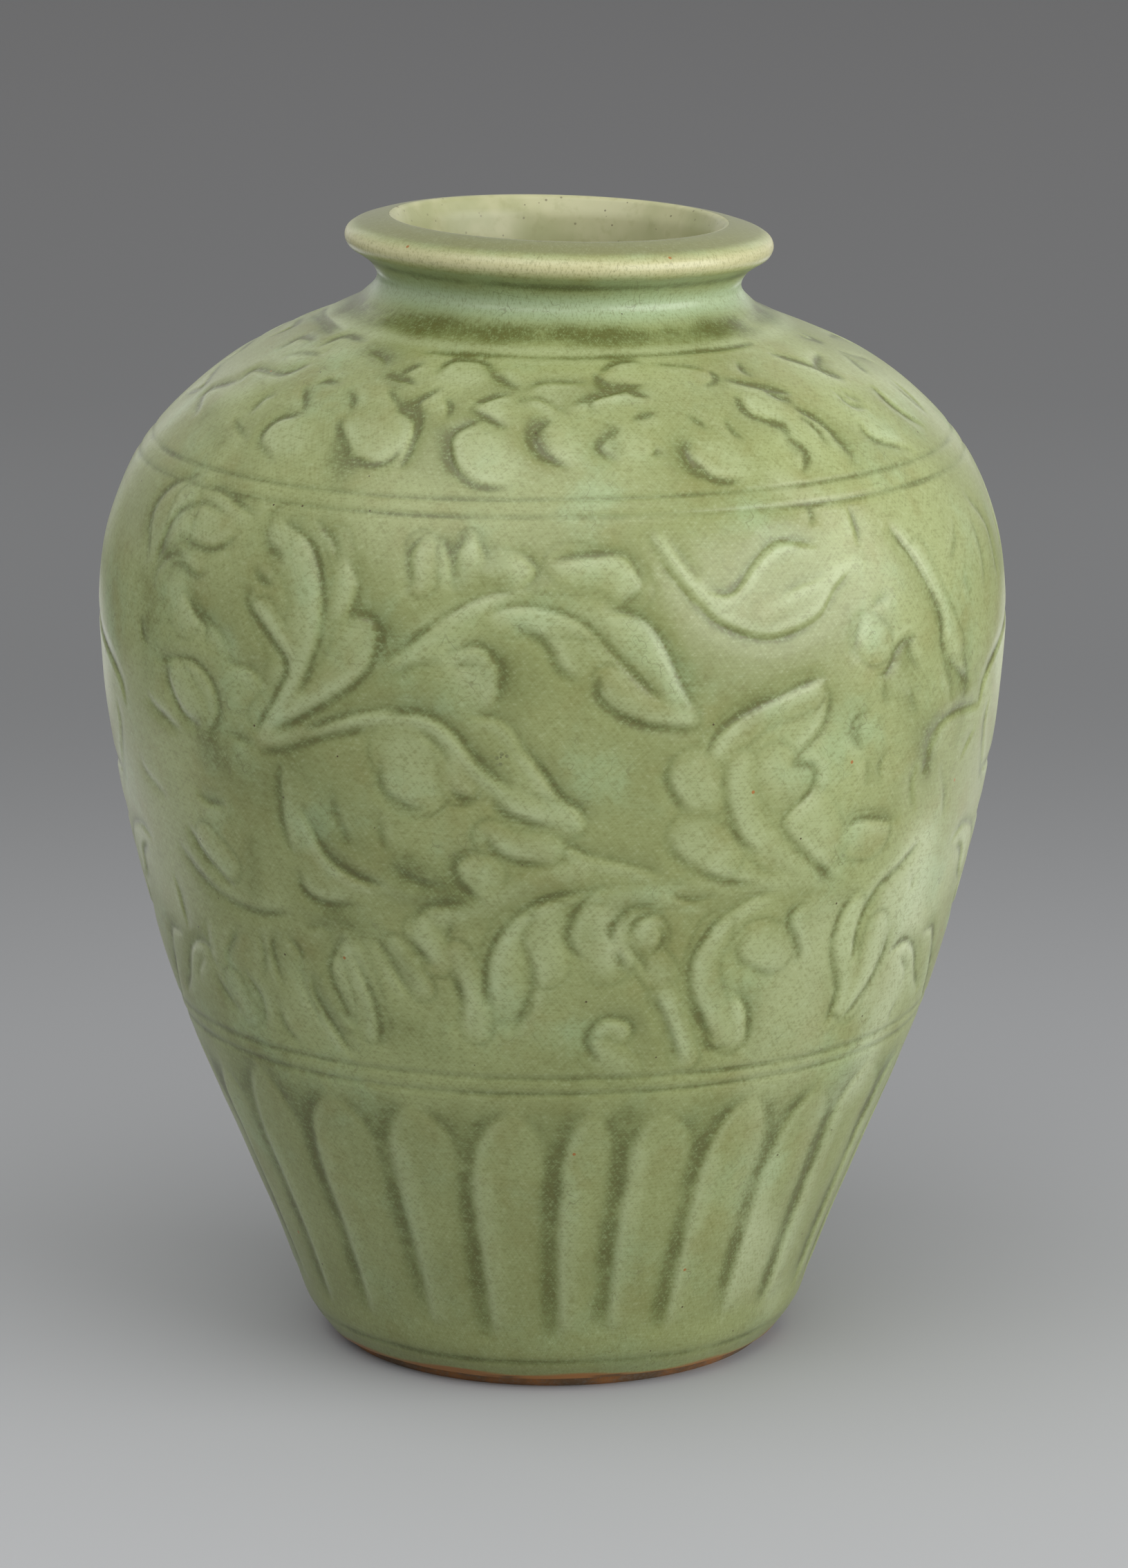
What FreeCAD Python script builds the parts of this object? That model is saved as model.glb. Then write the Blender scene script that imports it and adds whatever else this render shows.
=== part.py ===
# Meiping vase: a high-shouldered stoneware vase with a small rolled mouth, thrown in sections
# that are luted together with bevelled joints, carved, and coated with celadon glaze.
# Millimetres. The vase stands on z = 0 and its axis is +Z.
import math
import os

import FreeCAD
import Part

# Main sizes of the glazed outside
total_height = 308.0
foot_radius = 59.0
belly_radius = 122.6
neck_radius = 48.8
mouth_radius = 57.4
crest_radius = 45.5

# Thicknesses of the clay and of the glaze
wall_thickness = 6.6
floor_thickness = 7.6
glaze_thickness = 1.2

# Trimmed foot
foot_ring_width = 8.6
recess_depth = 5.0
foot_edge_radius = 2.4
recess_edge_radius = 1.6

# Carving that is as deep as the glaze
groove_tool_radius = 1.5
groove_depth = 0.55
groove_spacing = 4.4
lappet_count = 26
lappet_tool_radius = 6.0
lappet_depth = 0.6
lappet_lift_radius = 40.0
lappet_lift_share = 3.0
arch_lean = 12.0
arch_width_share = 0.66
arch_tool_share = 0.4

# Outside from the glaze line to the belly:
# share of the way out from foot to belly, share of the height, share of the wall thickness
lower_shares = [
    (0.063, 0.0104, 1.15),
    (0.138, 0.0325, 1.15),
    (0.197, 0.0649, 1.15),
    (0.292, 0.1169, 1.08),
    (0.447, 0.1948, 1.02),
    (0.654, 0.2987, 1.00),
    (0.698, 0.3247, 1.00),
    (0.807, 0.4026, 0.97),
    (0.931, 0.5195, 0.93),
    (0.992, 0.6200, 0.90),
    (1.000, 0.6591, 0.90),
]
# Outside from the belly to the neck: share of the way out from neck to belly, then as above
upper_shares = [
    (0.957, 0.7403, 0.92),
    (0.850, 0.7987, 0.94),
    (0.684, 0.8442, 0.97),
    (0.510, 0.8766, 1.00),
    (0.323, 0.8994, 1.02),
    (0.149, 0.9172, 1.02),
    (0.052, 0.9302, 0.95),
    (0.000, 0.9474, 0.88),
]
# Outside of the rolled lip: share of the way out from neck to lip, share of the height
lip_shares = [
    (0.21, 0.9594),
    (0.60, 0.9682),
    (1.00, 0.9812),
]
# Top of the lip: share of the way out from crest to lip, share of the height
lip_top_shares = [
    (0.61, 0.9932),
    (0.00, 1.0000),
]
# Inside of the throat: share of the way out from throat to crest, share of the height
throat_shares = [
    (0.12, 0.9720),
    (0.42, 0.9900),
]
# Inside of the floor: share of the foot radius, share of the floor thickness above the centre
floor_shares = [
    (0.00, 0.00),
    (0.45, 0.06),
    (0.80, 0.32),
]

# Places of the joints, counted along the stations from the glaze line
foot_joint = 1
lower_joint = 5
belly_joint = 9
collar_joint = 16
lip_joint = 19

# Places of the carving, as shares of the height
shoulder_groove_share = 0.8010
lower_groove_share = 0.3030
lappet_foot_share = 0.0520
lappet_side_share = 0.2300
lappet_head_share = 0.2530

os.makedirs("parts", exist_ok=True)


# Plane geometry of the outline
def unit(r, z):
    length = math.hypot(r, z)
    return r / length, z / length


def along(point, direction, distance):
    return point[0] + direction[0] * distance, point[1] + direction[1] * distance


def left_of(direction):
    return -direction[1], direction[0]


def direction_at(before, point, after):
    # direction of the circle through three stations, at the middle one
    first = unit(point[0] - before[0], point[1] - before[1])
    second = unit(after[0] - point[0], after[1] - point[1])
    first_length = math.dist(before, point)
    second_length = math.dist(point, after)
    return unit(first[0] * second_length + second[0] * first_length,
                first[1] * second_length + second[1] * first_length)


def directions_of(stations, first, last):
    inner = [direction_at(*stations[i:i + 3]) for i in range(len(stations) - 2)]
    return [first] + inner + [last]


def arc_between(start, start_direction, end, end_direction):
    # a tangent arc as three points, each with the direction of travel there
    chord = unit(end[0] - start[0], end[1] - start[1])
    cross = start_direction[0] * chord[1] - start_direction[1] * chord[0]
    dot = start_direction[0] * chord[0] + start_direction[1] * chord[1]
    rise = math.dist(start, end) / 2 * math.tan(math.atan2(cross, dot) / 2)
    middle = ((start[0] + end[0]) / 2, (start[1] + end[1]) / 2)
    return [(start, start_direction), (along(middle, left_of(chord), -rise), chord), (end, end_direction)]


def two_arcs(start, start_direction, end, end_direction):
    # the pair of tangent arcs that joins two stations
    gap = (end[0] - start[0], end[1] - start[1])
    total = (start_direction[0] + end_direction[0], start_direction[1] + end_direction[1])
    square = gap[0] ** 2 + gap[1] ** 2
    gap_total = gap[0] * total[0] + gap[1] * total[1]
    turn = 2 * (1 - start_direction[0] * end_direction[0] - start_direction[1] * end_direction[1])
    reach = square / (gap_total + math.sqrt(gap_total ** 2 + turn * square))
    near = along(start, start_direction, reach)
    far = along(end, end_direction, -reach)
    middle = ((near[0] + far[0]) / 2, (near[1] + far[1]) / 2)
    middle_direction = unit(far[0] - near[0], far[1] - near[1])
    return [arc_between(start, start_direction, middle, middle_direction),
            arc_between(middle, middle_direction, end, end_direction)]


def outline_through(stations, directions):
    # one list of two arcs for each stretch between neighbouring stations
    return [two_arcs(stations[i], directions[i], stations[i + 1], directions[i + 1])
            for i in range(len(stations) - 1)]


def beside(outline, distance):
    # the parallel outline at a distance to the left of the travel
    return [[[(along(point, left_of(direction), distance), direction) for point, direction in arc]
             for arc in stretch] for stretch in outline]


def place_at(outline, height):
    # the point and direction of the outline at a height below the lip
    for stretch in outline:
        for (start, start_direction), (middle, middle_direction), (end, end_direction) in stretch:
            if start[1] <= height <= end[1]:
                share = (height - start[1]) / (end[1] - start[1])
                chord_r = start[0] + (end[0] - start[0]) * share
                bulge = middle[0] - (start[0] + end[0]) / 2
                radius = chord_r + bulge * (1 - (2 * share - 1) ** 2)
                blend_r = start_direction[0] + (end_direction[0] - start_direction[0]) * share
                blend_z = start_direction[1] + (end_direction[1] - start_direction[1]) * share
                return (radius, height), unit(blend_r, blend_z)
    raise ValueError("height is outside the outline")


# Solids of revolution
def at(point):
    return FreeCAD.Vector(point[0], 0, point[1])


def arc_edge(arc):
    points = [point for point, direction in arc]
    chord_middle = ((points[0][0] + points[2][0]) / 2, (points[0][1] + points[2][1]) / 2)
    if math.dist(points[1], chord_middle) < math.dist(points[0], points[2]) / 1e5:
        return Part.LineSegment(at(points[0]), at(points[2])).toShape()
    return Part.Arc(at(points[0]), at(points[1]), at(points[2])).toShape()


def edges_of(stretches):
    return [arc_edge(arc) for stretch in stretches for arc in stretch]


def line(start, end):
    return [Part.LineSegment(at(start), at(end)).toShape()]


def start_of(stretches):
    return stretches[0][0][0][0]


def end_of(stretches):
    return stretches[-1][-1][-1][0]


def turned(edges):
    # the solid that a closed section makes when it is turned about the vase's axis
    section = Part.Wire(Part.__sortEdges__(edges))
    solid = Part.Face(section).revolve(FreeCAD.Vector(0, 0, 0), FreeCAD.Vector(0, 0, 1), 360)
    return solid if solid.Volume > 0 else solid.reversed()


# Stations of the outside, from the glaze line up to the crest of the lip
def spread(low_radius, high_radius, shares):
    return [(low_radius + (high_radius - low_radius) * share[0], total_height * share[1]) for share in shares]


body_shares = lower_shares + upper_shares
outside_stations = (spread(foot_radius, belly_radius, lower_shares)
                    + spread(neck_radius, belly_radius, upper_shares)
                    + spread(neck_radius, mouth_radius, lip_shares)
                    + spread(crest_radius, mouth_radius, lip_top_shares))
foot_rise = unit(outside_stations[1][0] - foot_radius, outside_stations[1][1])
outside_directions = directions_of(outside_stations, foot_rise, (-1, 0))
glaze_face = outline_through(outside_stations, outside_directions)
clay_face = beside(glaze_face, glaze_thickness)

# Stations of the inside, from the middle of the floor up to the crest of the lip
floor_height = recess_depth + floor_thickness + 2 * glaze_thickness
floor_stations = [(foot_radius * share[0], floor_height + floor_thickness * share[1]) for share in floor_shares]
first_wall_station = 2
wall_stations = [
    along(outside_stations[i], left_of(outside_directions[i]),
          2 * glaze_thickness + wall_thickness * body_shares[i][2])
    for i in range(first_wall_station, len(body_shares))]
throat_radius = wall_stations[-1][0]
throat_stations = spread(throat_radius, crest_radius, throat_shares)
inside_stations = floor_stations + wall_stations + throat_stations + [outside_stations[-1]]
inside_directions = directions_of(inside_stations, (1, 0), (1, 0))
inner_face = outline_through(inside_stations, inside_directions)
inner_clay_face = beside(inner_face, -glaze_thickness)


def inside_of(station):
    # the stretch of the inside that starts level with a station of the outside
    return station - first_wall_station + len(floor_stations)


# Clay around the foot
contact_inner_radius = foot_radius - foot_ring_width
ceiling_height = recess_depth + glaze_thickness
disc_edge = (contact_inner_radius, ceiling_height + floor_thickness / 4)
floor_corner = start_of(inner_clay_face[len(floor_stations) - 1:])
foot_joint_point = start_of(clay_face[foot_joint:])


def foot_ring():
    # the trimmed ring that the vase stands on, bare clay below the glaze line
    glaze_line = start_of(clay_face)
    edge_top = along(glaze_line, foot_rise, -foot_edge_radius / 2)
    edge_middle = (foot_radius + foot_edge_radius * (1 - math.sqrt(0.5)) / 2, foot_edge_radius / 8)
    edges = edges_of(clay_face[:foot_joint])
    edges += line(foot_joint_point, disc_edge)
    edges += line(disc_edge, (contact_inner_radius, recess_edge_radius))
    edges += line((contact_inner_radius, recess_edge_radius), (contact_inner_radius + recess_edge_radius, 0))
    edges += line((contact_inner_radius + recess_edge_radius, 0), (foot_radius, 0))
    edges += [Part.Arc(at((foot_radius, 0)), at(edge_middle), at(edge_top)).toShape()]
    edges += line(edge_top, glaze_line)
    return turned(edges)


def base_disc():
    # the floor slab, luted into the foot ring and the lower wall by its bevelled edge
    floor_stretches = inner_clay_face[:len(floor_stations) - 1]
    centre_top = start_of(floor_stretches)
    edges = edges_of(floor_stretches)
    edges += line(end_of(floor_stretches), disc_edge)
    edges += line(disc_edge, (contact_inner_radius, ceiling_height))
    edges += line((contact_inner_radius, ceiling_height), (0, ceiling_height))
    edges += line((0, ceiling_height), centre_top)
    return turned(edges)


def wall_section(bottom, top):
    # a thrown section of the wall between two joints; each joint climbs one station on the inside
    outer = clay_face[bottom:top]
    inner = inner_clay_face[inside_of(bottom) + 1:inside_of(top) + 1]
    edges = edges_of(outer) + edges_of(inner)
    edges += line(end_of(outer), end_of(inner))
    edges += line(start_of(inner), start_of(outer))
    return turned(edges)


def lower_wall():
    # the steep wall that rises from the foot
    outer = clay_face[foot_joint:lower_joint]
    inner = inner_clay_face[len(floor_stations) - 1:inside_of(lower_joint) + 1]
    edges = edges_of(outer) + edges_of(inner)
    edges += line(end_of(outer), end_of(inner))
    edges += line(start_of(inner), disc_edge)
    edges += line(disc_edge, foot_joint_point)
    return turned(edges)


def belly_wall():
    # the swelling wall below the widest place
    return wall_section(lower_joint, belly_joint)


def shoulder_dome():
    # the broad round shoulder that closes in to the neck
    return wall_section(belly_joint, collar_joint)


def neck_collar():
    # the short waisted neck
    return wall_section(collar_joint, lip_joint)


def rolled_lip():
    # the rolled lip, thick outside and flared inside
    outer = clay_face[lip_joint:]
    inner = inner_clay_face[inside_of(lip_joint) + 1:]
    edges = edges_of(outer) + edges_of(inner)
    edges += line(start_of(inner), start_of(outer))
    return turned(edges)


# Glaze
def groove_tool(height):
    # the ring that a round-nosed tool cuts out at one height
    place, direction = place_at(glaze_face, height)
    centre = along(place, left_of(direction), groove_depth - groove_tool_radius)
    return Part.makeTorus(centre[0], groove_tool_radius, FreeCAD.Vector(0, 0, centre[1]))


def on_glaze(share, angle):
    # a point of the glazed outside at a share of the height and an angle, and the way out from it
    (radius, level), (direction_r, direction_z) = place_at(glaze_face, total_height * share)
    cosine, sine = math.cos(angle), math.sin(angle)
    point = FreeCAD.Vector(radius * cosine, radius * sine, level)
    outward = FreeCAD.Vector(direction_z * cosine, direction_z * sine, -direction_r)
    return point, outward


def lift(end, travel, outward):
    # the arc on which the gouge leaves the clay: it goes on along its travel and turns outward
    rise = lappet_lift_share * lappet_depth
    turn = math.acos(1 - rise / lappet_lift_radius)
    way_out = (outward - travel * travel.dot(outward)).normalize()

    def on_arc(angle):
        ahead = travel * (lappet_lift_radius * math.sin(angle))
        return end + ahead + way_out * (lappet_lift_radius * (1 - math.cos(angle)))

    return Part.Arc(end, on_arc(turn / 2), on_arc(turn)).toShape()


def upright_stroke(low_share, high_share, angle):
    # a round-nosed cut that follows the wall upward and runs out to nothing at both ends
    places = [on_glaze(share, angle) for share in (low_share, (low_share + high_share) / 2, high_share)]
    low, middle, high = [point + outward * (lappet_tool_radius - lappet_depth) for point, outward in places]
    travel = Part.Arc(low, middle, high)
    start_way = travel.tangent(travel.FirstParameter)[0]
    end_way = travel.tangent(travel.LastParameter)[0]
    run_in = lift(low, start_way * -1, places[0][1])
    run_out = lift(high, end_way, places[2][1])
    path = Part.Wire(Part.__sortEdges__([run_in, travel.toShape(), run_out]))
    first = path.OrderedEdges[0]
    nose = Part.Circle(first.valueAt(first.FirstParameter), first.tangentAt(first.FirstParameter), lappet_tool_radius)
    return path.makePipe(Part.Face(Part.Wire(nose.toShape())))


def arch_stroke(angle):
    # the round head of a petal: a ring-shaped cut that leans so that only its upper side bites
    point, outward = on_glaze(lappet_head_share, angle)
    ring_radius = math.hypot(point.x, point.y) * math.pi / lappet_count * arch_width_share
    tool_radius = ring_radius * arch_tool_share
    across = FreeCAD.Vector(0, 0, 1).cross(outward).normalize()
    up = outward.cross(across)
    lean = math.radians(arch_lean)
    axis = outward * math.cos(lean) + up * math.sin(lean)
    centre = point + outward * (tool_radius - lappet_depth + ring_radius * math.sin(lean))
    return Part.makeTorus(ring_radius, tool_radius, centre, axis)


def round_the_wall(stroke):
    # one stroke for each petal
    strokes = []
    for i in range(lappet_count):
        copy = stroke.copy()
        copy.rotate(FreeCAD.Vector(0, 0, 0), FreeCAD.Vector(0, 0, 1), 360 / lappet_count * i)
        strokes.append(copy)
    return strokes


def outer_glaze():
    # the coat from the glaze line to the crest of the lip, thinner where the carving is
    glaze_end = line(start_of(glaze_face), start_of(clay_face))
    crest = line(end_of(glaze_face), end_of(clay_face))
    coat = turned(edges_of(glaze_face) + edges_of(clay_face) + glaze_end + crest)
    grooves = []
    for share in (shoulder_groove_share, lower_groove_share):
        grooves.append(groove_tool(total_height * share))
        grooves.append(groove_tool(total_height * share + groove_spacing))
    uprights = round_the_wall(upright_stroke(lappet_foot_share, lappet_side_share, math.pi / lappet_count))
    heads = round_the_wall(arch_stroke(0))
    return coat.cut(grooves + uprights).cut(heads)


def inner_glaze():
    # the coat poured over the floor and walls inside, up to the crest of the lip
    edges = edges_of(inner_face) + edges_of(inner_clay_face)
    edges += line(start_of(inner_face), start_of(inner_clay_face))
    edges += line(end_of(inner_face), end_of(inner_clay_face))
    return turned(edges)


def base_glaze():
    # the glaze in the recess under the floor, with its edge drawn down against the foot ring
    edge_low = (contact_inner_radius, recess_depth - glaze_thickness)
    edge_in = (contact_inner_radius - glaze_thickness, recess_depth)
    bend = glaze_thickness * (1 - math.sqrt(0.5))
    edge_middle = (contact_inner_radius - bend, recess_depth - bend)
    edges = line((0, ceiling_height), (contact_inner_radius, ceiling_height))
    edges += line((contact_inner_radius, ceiling_height), edge_low)
    edges += [Part.Arc(at(edge_low), at(edge_middle), at(edge_in)).toShape()]
    edges += line(edge_in, (0, recess_depth))
    edges += line((0, recess_depth), (0, ceiling_height))
    return turned(edges)


for name, make in (
        ("foot_ring", foot_ring),
        ("base_disc", base_disc),
        ("lower_wall", lower_wall),
        ("belly_wall", belly_wall),
        ("shoulder_dome", shoulder_dome),
        ("neck_collar", neck_collar),
        ("rolled_lip", rolled_lip),
        ("outer_glaze", outer_glaze),
        ("inner_glaze", inner_glaze),
        ("base_glaze", base_glaze)):
    make().exportStep("parts/" + name + ".step")
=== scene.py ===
# Meiping vase: high-shouldered stoneware under celadon glaze, with a carved peony scroll,
# a band of cloud lobes round the shoulder and a band of lappet petals above the foot.
import math

import bmesh
import bpy
import numpy as np
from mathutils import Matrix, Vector


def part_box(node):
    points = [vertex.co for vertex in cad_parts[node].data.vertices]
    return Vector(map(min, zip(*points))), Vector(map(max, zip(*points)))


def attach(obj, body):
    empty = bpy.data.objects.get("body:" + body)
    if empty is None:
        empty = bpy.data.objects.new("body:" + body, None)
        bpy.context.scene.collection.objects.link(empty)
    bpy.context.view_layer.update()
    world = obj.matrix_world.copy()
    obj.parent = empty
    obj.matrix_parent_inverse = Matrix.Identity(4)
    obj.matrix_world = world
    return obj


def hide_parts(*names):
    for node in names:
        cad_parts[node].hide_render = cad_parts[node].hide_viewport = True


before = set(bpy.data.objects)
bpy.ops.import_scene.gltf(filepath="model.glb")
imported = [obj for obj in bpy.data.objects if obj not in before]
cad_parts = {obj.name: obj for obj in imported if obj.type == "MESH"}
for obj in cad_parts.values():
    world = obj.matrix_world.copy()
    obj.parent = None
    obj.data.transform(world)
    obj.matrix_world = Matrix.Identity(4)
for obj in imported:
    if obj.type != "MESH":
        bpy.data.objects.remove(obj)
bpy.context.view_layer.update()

mm = 0.001

# Photograph: its size in pixels, and the camera that took it
photo_width = 1632
photo_height = 2268
photo_focal_length = 9010
film_long_side = 36
camera_pitch = math.radians(13)
camera_place = (3.1 * mm, -1656.4 * mm, 535.0 * mm)

# Main sizes of the glazed outside
glaze_thickness = 1.2 * mm
foot_ring_width = 8.6 * mm
neck_share = 0.85
crest_share = 0.793
total_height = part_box("outer_glaze")[1].z
belly_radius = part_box("outer_glaze")[1].x
mouth_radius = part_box("rolled_lip")[1].x + glaze_thickness
foot_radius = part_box("base_glaze")[1].x + foot_ring_width
neck_radius = neck_share * mouth_radius
crest_radius = crest_share * mouth_radius

# Outside of the body: share of the way out from foot or neck to belly, share of the height
lower_shares = [
    (0.063, 0.0104), (0.138, 0.0325), (0.197, 0.0649), (0.292, 0.1169), (0.447, 0.1948), (0.654, 0.2987),
    (0.698, 0.3247), (0.807, 0.4026), (0.931, 0.5195), (0.992, 0.6200), (1.000, 0.6591),
]
upper_shares = [
    (0.957, 0.7403), (0.850, 0.7987), (0.684, 0.8442), (0.510, 0.8766), (0.323, 0.8994),
    (0.149, 0.9172), (0.052, 0.9302), (0.000, 0.9474),
]
# Outside of the lip: share of the way out from neck or crest to lip, share of the height
lip_shares = [(0.21, 0.9594), (0.60, 0.9680), (0.90, 0.9738), (1.00, 0.9806)]
lip_top_shares = [(0.96, 0.9868), (0.82, 0.9914), (0.52, 0.9958), (0.22, 0.9988), (0.00, 1.0000)]

# The map that the carving is drawn on, and how finely outline and strokes are followed
map_step = 0.5 * mm
map_columns = 1540
carving_reach = 16 * mm
least_taper = 0.1 * mm
outline_pieces = 40
curve_step = 6

# How far round the vase's middle the photograph's rays are followed, and in how many steps
ray_before = 200 * mm
ray_behind = 80 * mm
ray_steps = 700

# Depths of the carving, within the thickness of the glaze, and the shape of a knife stroke
deep = 0.6 * mm
plain = 0.45 * mm
slight = 0.32 * mm
scroll_cut = {"taper": 6 * mm, "fade": 5 * mm, "steep_width": 1.4 * mm, "line_width": 0.95 * mm}

# How the glaze pools in a stroke: shares of the broad pool and of the line at the foot of the cut
broad_pool_share = 0.44
pool_line_share = 0.52
# It lies thin along the raised edge of a stroke
edge_offset = 2.4 * mm
edge_half_width = 1.4 * mm
# How far from a stroke the ground's tone is full, and the groove that closes round a leaf's body
ground_starts = 2 * mm
rim_half_width = 1.1 * mm

# How wide the melted glaze rounds the cuts, the pools, the thin edges and the ground beside them
cut_blur = 0.5 * mm
pool_blur = 0.45 * mm
edge_blur = 0.8 * mm
ground_blur = 2.5 * mm

# Broad waves that throwing left: their depth, and how they come full below the neck
throwing_waves = 0.10 * mm
waves_below = (total_height - 30 * mm, -10 * mm)

# The hand-thrown neck stands a little to the right and dips on that side
neck_offset = 1.8 * mm
neck_dip = math.tan(math.radians(1.7))
lean_from = 262 * mm
lean_full = 292 * mm

# Carved strokes in pixels of the photograph: raised side, depth, points
left_edge_scroll = [
    ("below", slight, [(268, 742), (296, 728), (330, 748)]),
    ("right", slight, [(222, 852), (228, 822), (250, 803), (275, 808)]),
    ("right", slight, [(318, 905), (330, 940), (352, 965)]),
    ("right", slight, [(300, 1330), (305, 1375), (322, 1410)]),
    ("right", plain, [(297, 685), (248, 703), (220, 745), (214, 815)]),
    ("left", plain, [(285, 722), (252, 747), (230, 800), (222, 828)]),
    ("above", plain, [(347, 770), (322, 788), (297, 792), (257, 773)]),
    ("below", plain, [(297, 703), (325, 712), (362, 743), (372, 750)]),
    ("above", plain, [(243, 818), (258, 812), (285, 832), (300, 822)]),
    ("left", plain, [(265, 850), (284, 890), (297, 908), (292, 938)]),
    ("left", plain, [(280, 872), (300, 897), (332, 932), (336, 948)]),
    ("left", slight, [(205, 890), (205, 915), (215, 935)]),
    ("below", plain, [(225, 955), (275, 955), (308, 990), (316, 1035), (302, 1062)]),
    ("right", plain, [(243, 955), (245, 985), (265, 1030), (292, 1048)]),
    ("right", plain, [(215, 1000), (222, 1018), (262, 1057)]),
    ("above", slight, [(203, 1090), (212, 1115), (243, 1152)]),
    ("below", plain, [(285, 1148), (303, 1161), (328, 1166)]),
    ("above", deep, [(272, 1192), (294, 1232), (322, 1266), (340, 1283)]),
    ("above", plain, [(258, 1218), (292, 1265), (328, 1299), (372, 1318), (425, 1320)]),
    ("left", plain, [(250, 1262), (260, 1288), (275, 1348)]),
    ("right", plain, [(312, 1403), (323, 1427), (350, 1468)]),
    ("left", slight, [(345, 1337), (330, 1375), (332, 1400)]),
]
tall_leaf_on_the_left = [
    ("left", slight, [(412, 728), (395, 738), (380, 752)]),
    ("below", slight, [(330, 1058), (350, 1070), (372, 1082)]),
    ("right", plain, [(395, 752), (386, 770), (390, 788), (417, 810)]),
    ("left", deep, [(405, 750), (448, 785), (465, 850), (462, 920), (440, 982), (428, 1005)]),
    ("left", plain, [(452, 748), (484, 785), (484, 822)]),
    ("left", plain, [(500, 800), (517, 842), (513, 868), (498, 910)]),
    ("above", plain, [(370, 815), (375, 832), (400, 848)]),
    ("right", deep, [(370, 852), (358, 872), (390, 917), (416, 962), (402, 1002), (368, 1062)]),
    ("below", plain, [(325, 958), (366, 970), (384, 998)]),
    ("left", deep, [(505, 888), (541, 898), (546, 938), (518, 985), (448, 1030), (392, 1057)]),
    ("below", plain, [(640, 1041), (565, 1027), (500, 1036), (440, 1058)]),
    ("above", plain, [(545, 1052), (475, 1064), (410, 1083), (372, 1085)]),
]
leaf_fan_at_the_top = [
    ("right", plain, [(622, 769), (594, 800), (596, 845), (578, 852)]),
    ("left", plain, [(628, 769), (650, 800), (657, 860)]),
    ("right", plain, [(682, 765), (660, 800), (663, 822)]),
    ("left", plain, [(686, 766), (703, 805), (699, 825)]),
    ("below", plain, [(727, 800), (752, 801), (777, 828), (748, 857)]),
    ("below", deep, [(552, 962), (605, 922), (650, 888), (703, 862), (750, 857)]),
    ("above", plain, [(555, 982), (582, 968), (640, 955)]),
    ("below", deep, [(640, 950), (690, 934), (721, 962), (724, 985), (716, 1030)]),
    ("below", slight, [(650, 970), (672, 963), (695, 968)]),
]
long_leaf_in_the_middle = [
    ("below", plain, [(700, 890), (755, 877), (830, 894), (868, 925), (922, 982), (960, 1015)]),
    ("above", deep, [(740, 905), (787, 928), (807, 965), (838, 988)]),
    ("below", plain, [(672, 1035), (722, 1040), (750, 1070), (758, 1090)]),
    ("below", deep, [(750, 1075), (780, 1110), (811, 1153), (840, 1174), (848, 1198)]),
    ("below", deep, [(560, 1037), (605, 1031), (652, 1056), (700, 1112), (745, 1146)]),
    ("below", slight, [(598, 1052), (638, 1086), (646, 1110)]),
    ("below", deep, [(795, 812), (850, 804), (903, 804), (926, 835), (930, 852)]),
    ("above", plain, [(930, 852), (912, 864), (892, 876)]),
    ("below", deep, [(870, 882), (918, 890), (951, 918), (983, 985), (1003, 1025)]),
    ("right", plain, [(935, 762), (960, 815), (1016, 888)]),
    ("left", plain, [(958, 770), (993, 818), (1010, 842)]),
    ("above", deep, [(866, 975), (872, 1018), (935, 1050), (1018, 1055)]),
]
tendril_on_the_right = [
    ("above", deep, [(1002, 868), (1040, 903), (1110, 925), (1182, 898), (1214, 848), (1236, 823)]),
    ("below", deep, [(1015, 850), (1058, 856), (1098, 803), (1130, 782), (1185, 788)]),
    ("below", plain, [(1128, 868), (1146, 850), (1205, 826)]),
    ("left", slight, [(1163, 722), (1170, 740), (1173, 762)]),
    ("left", plain, [(1226, 728), (1240, 772), (1240, 790)]),
]
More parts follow.
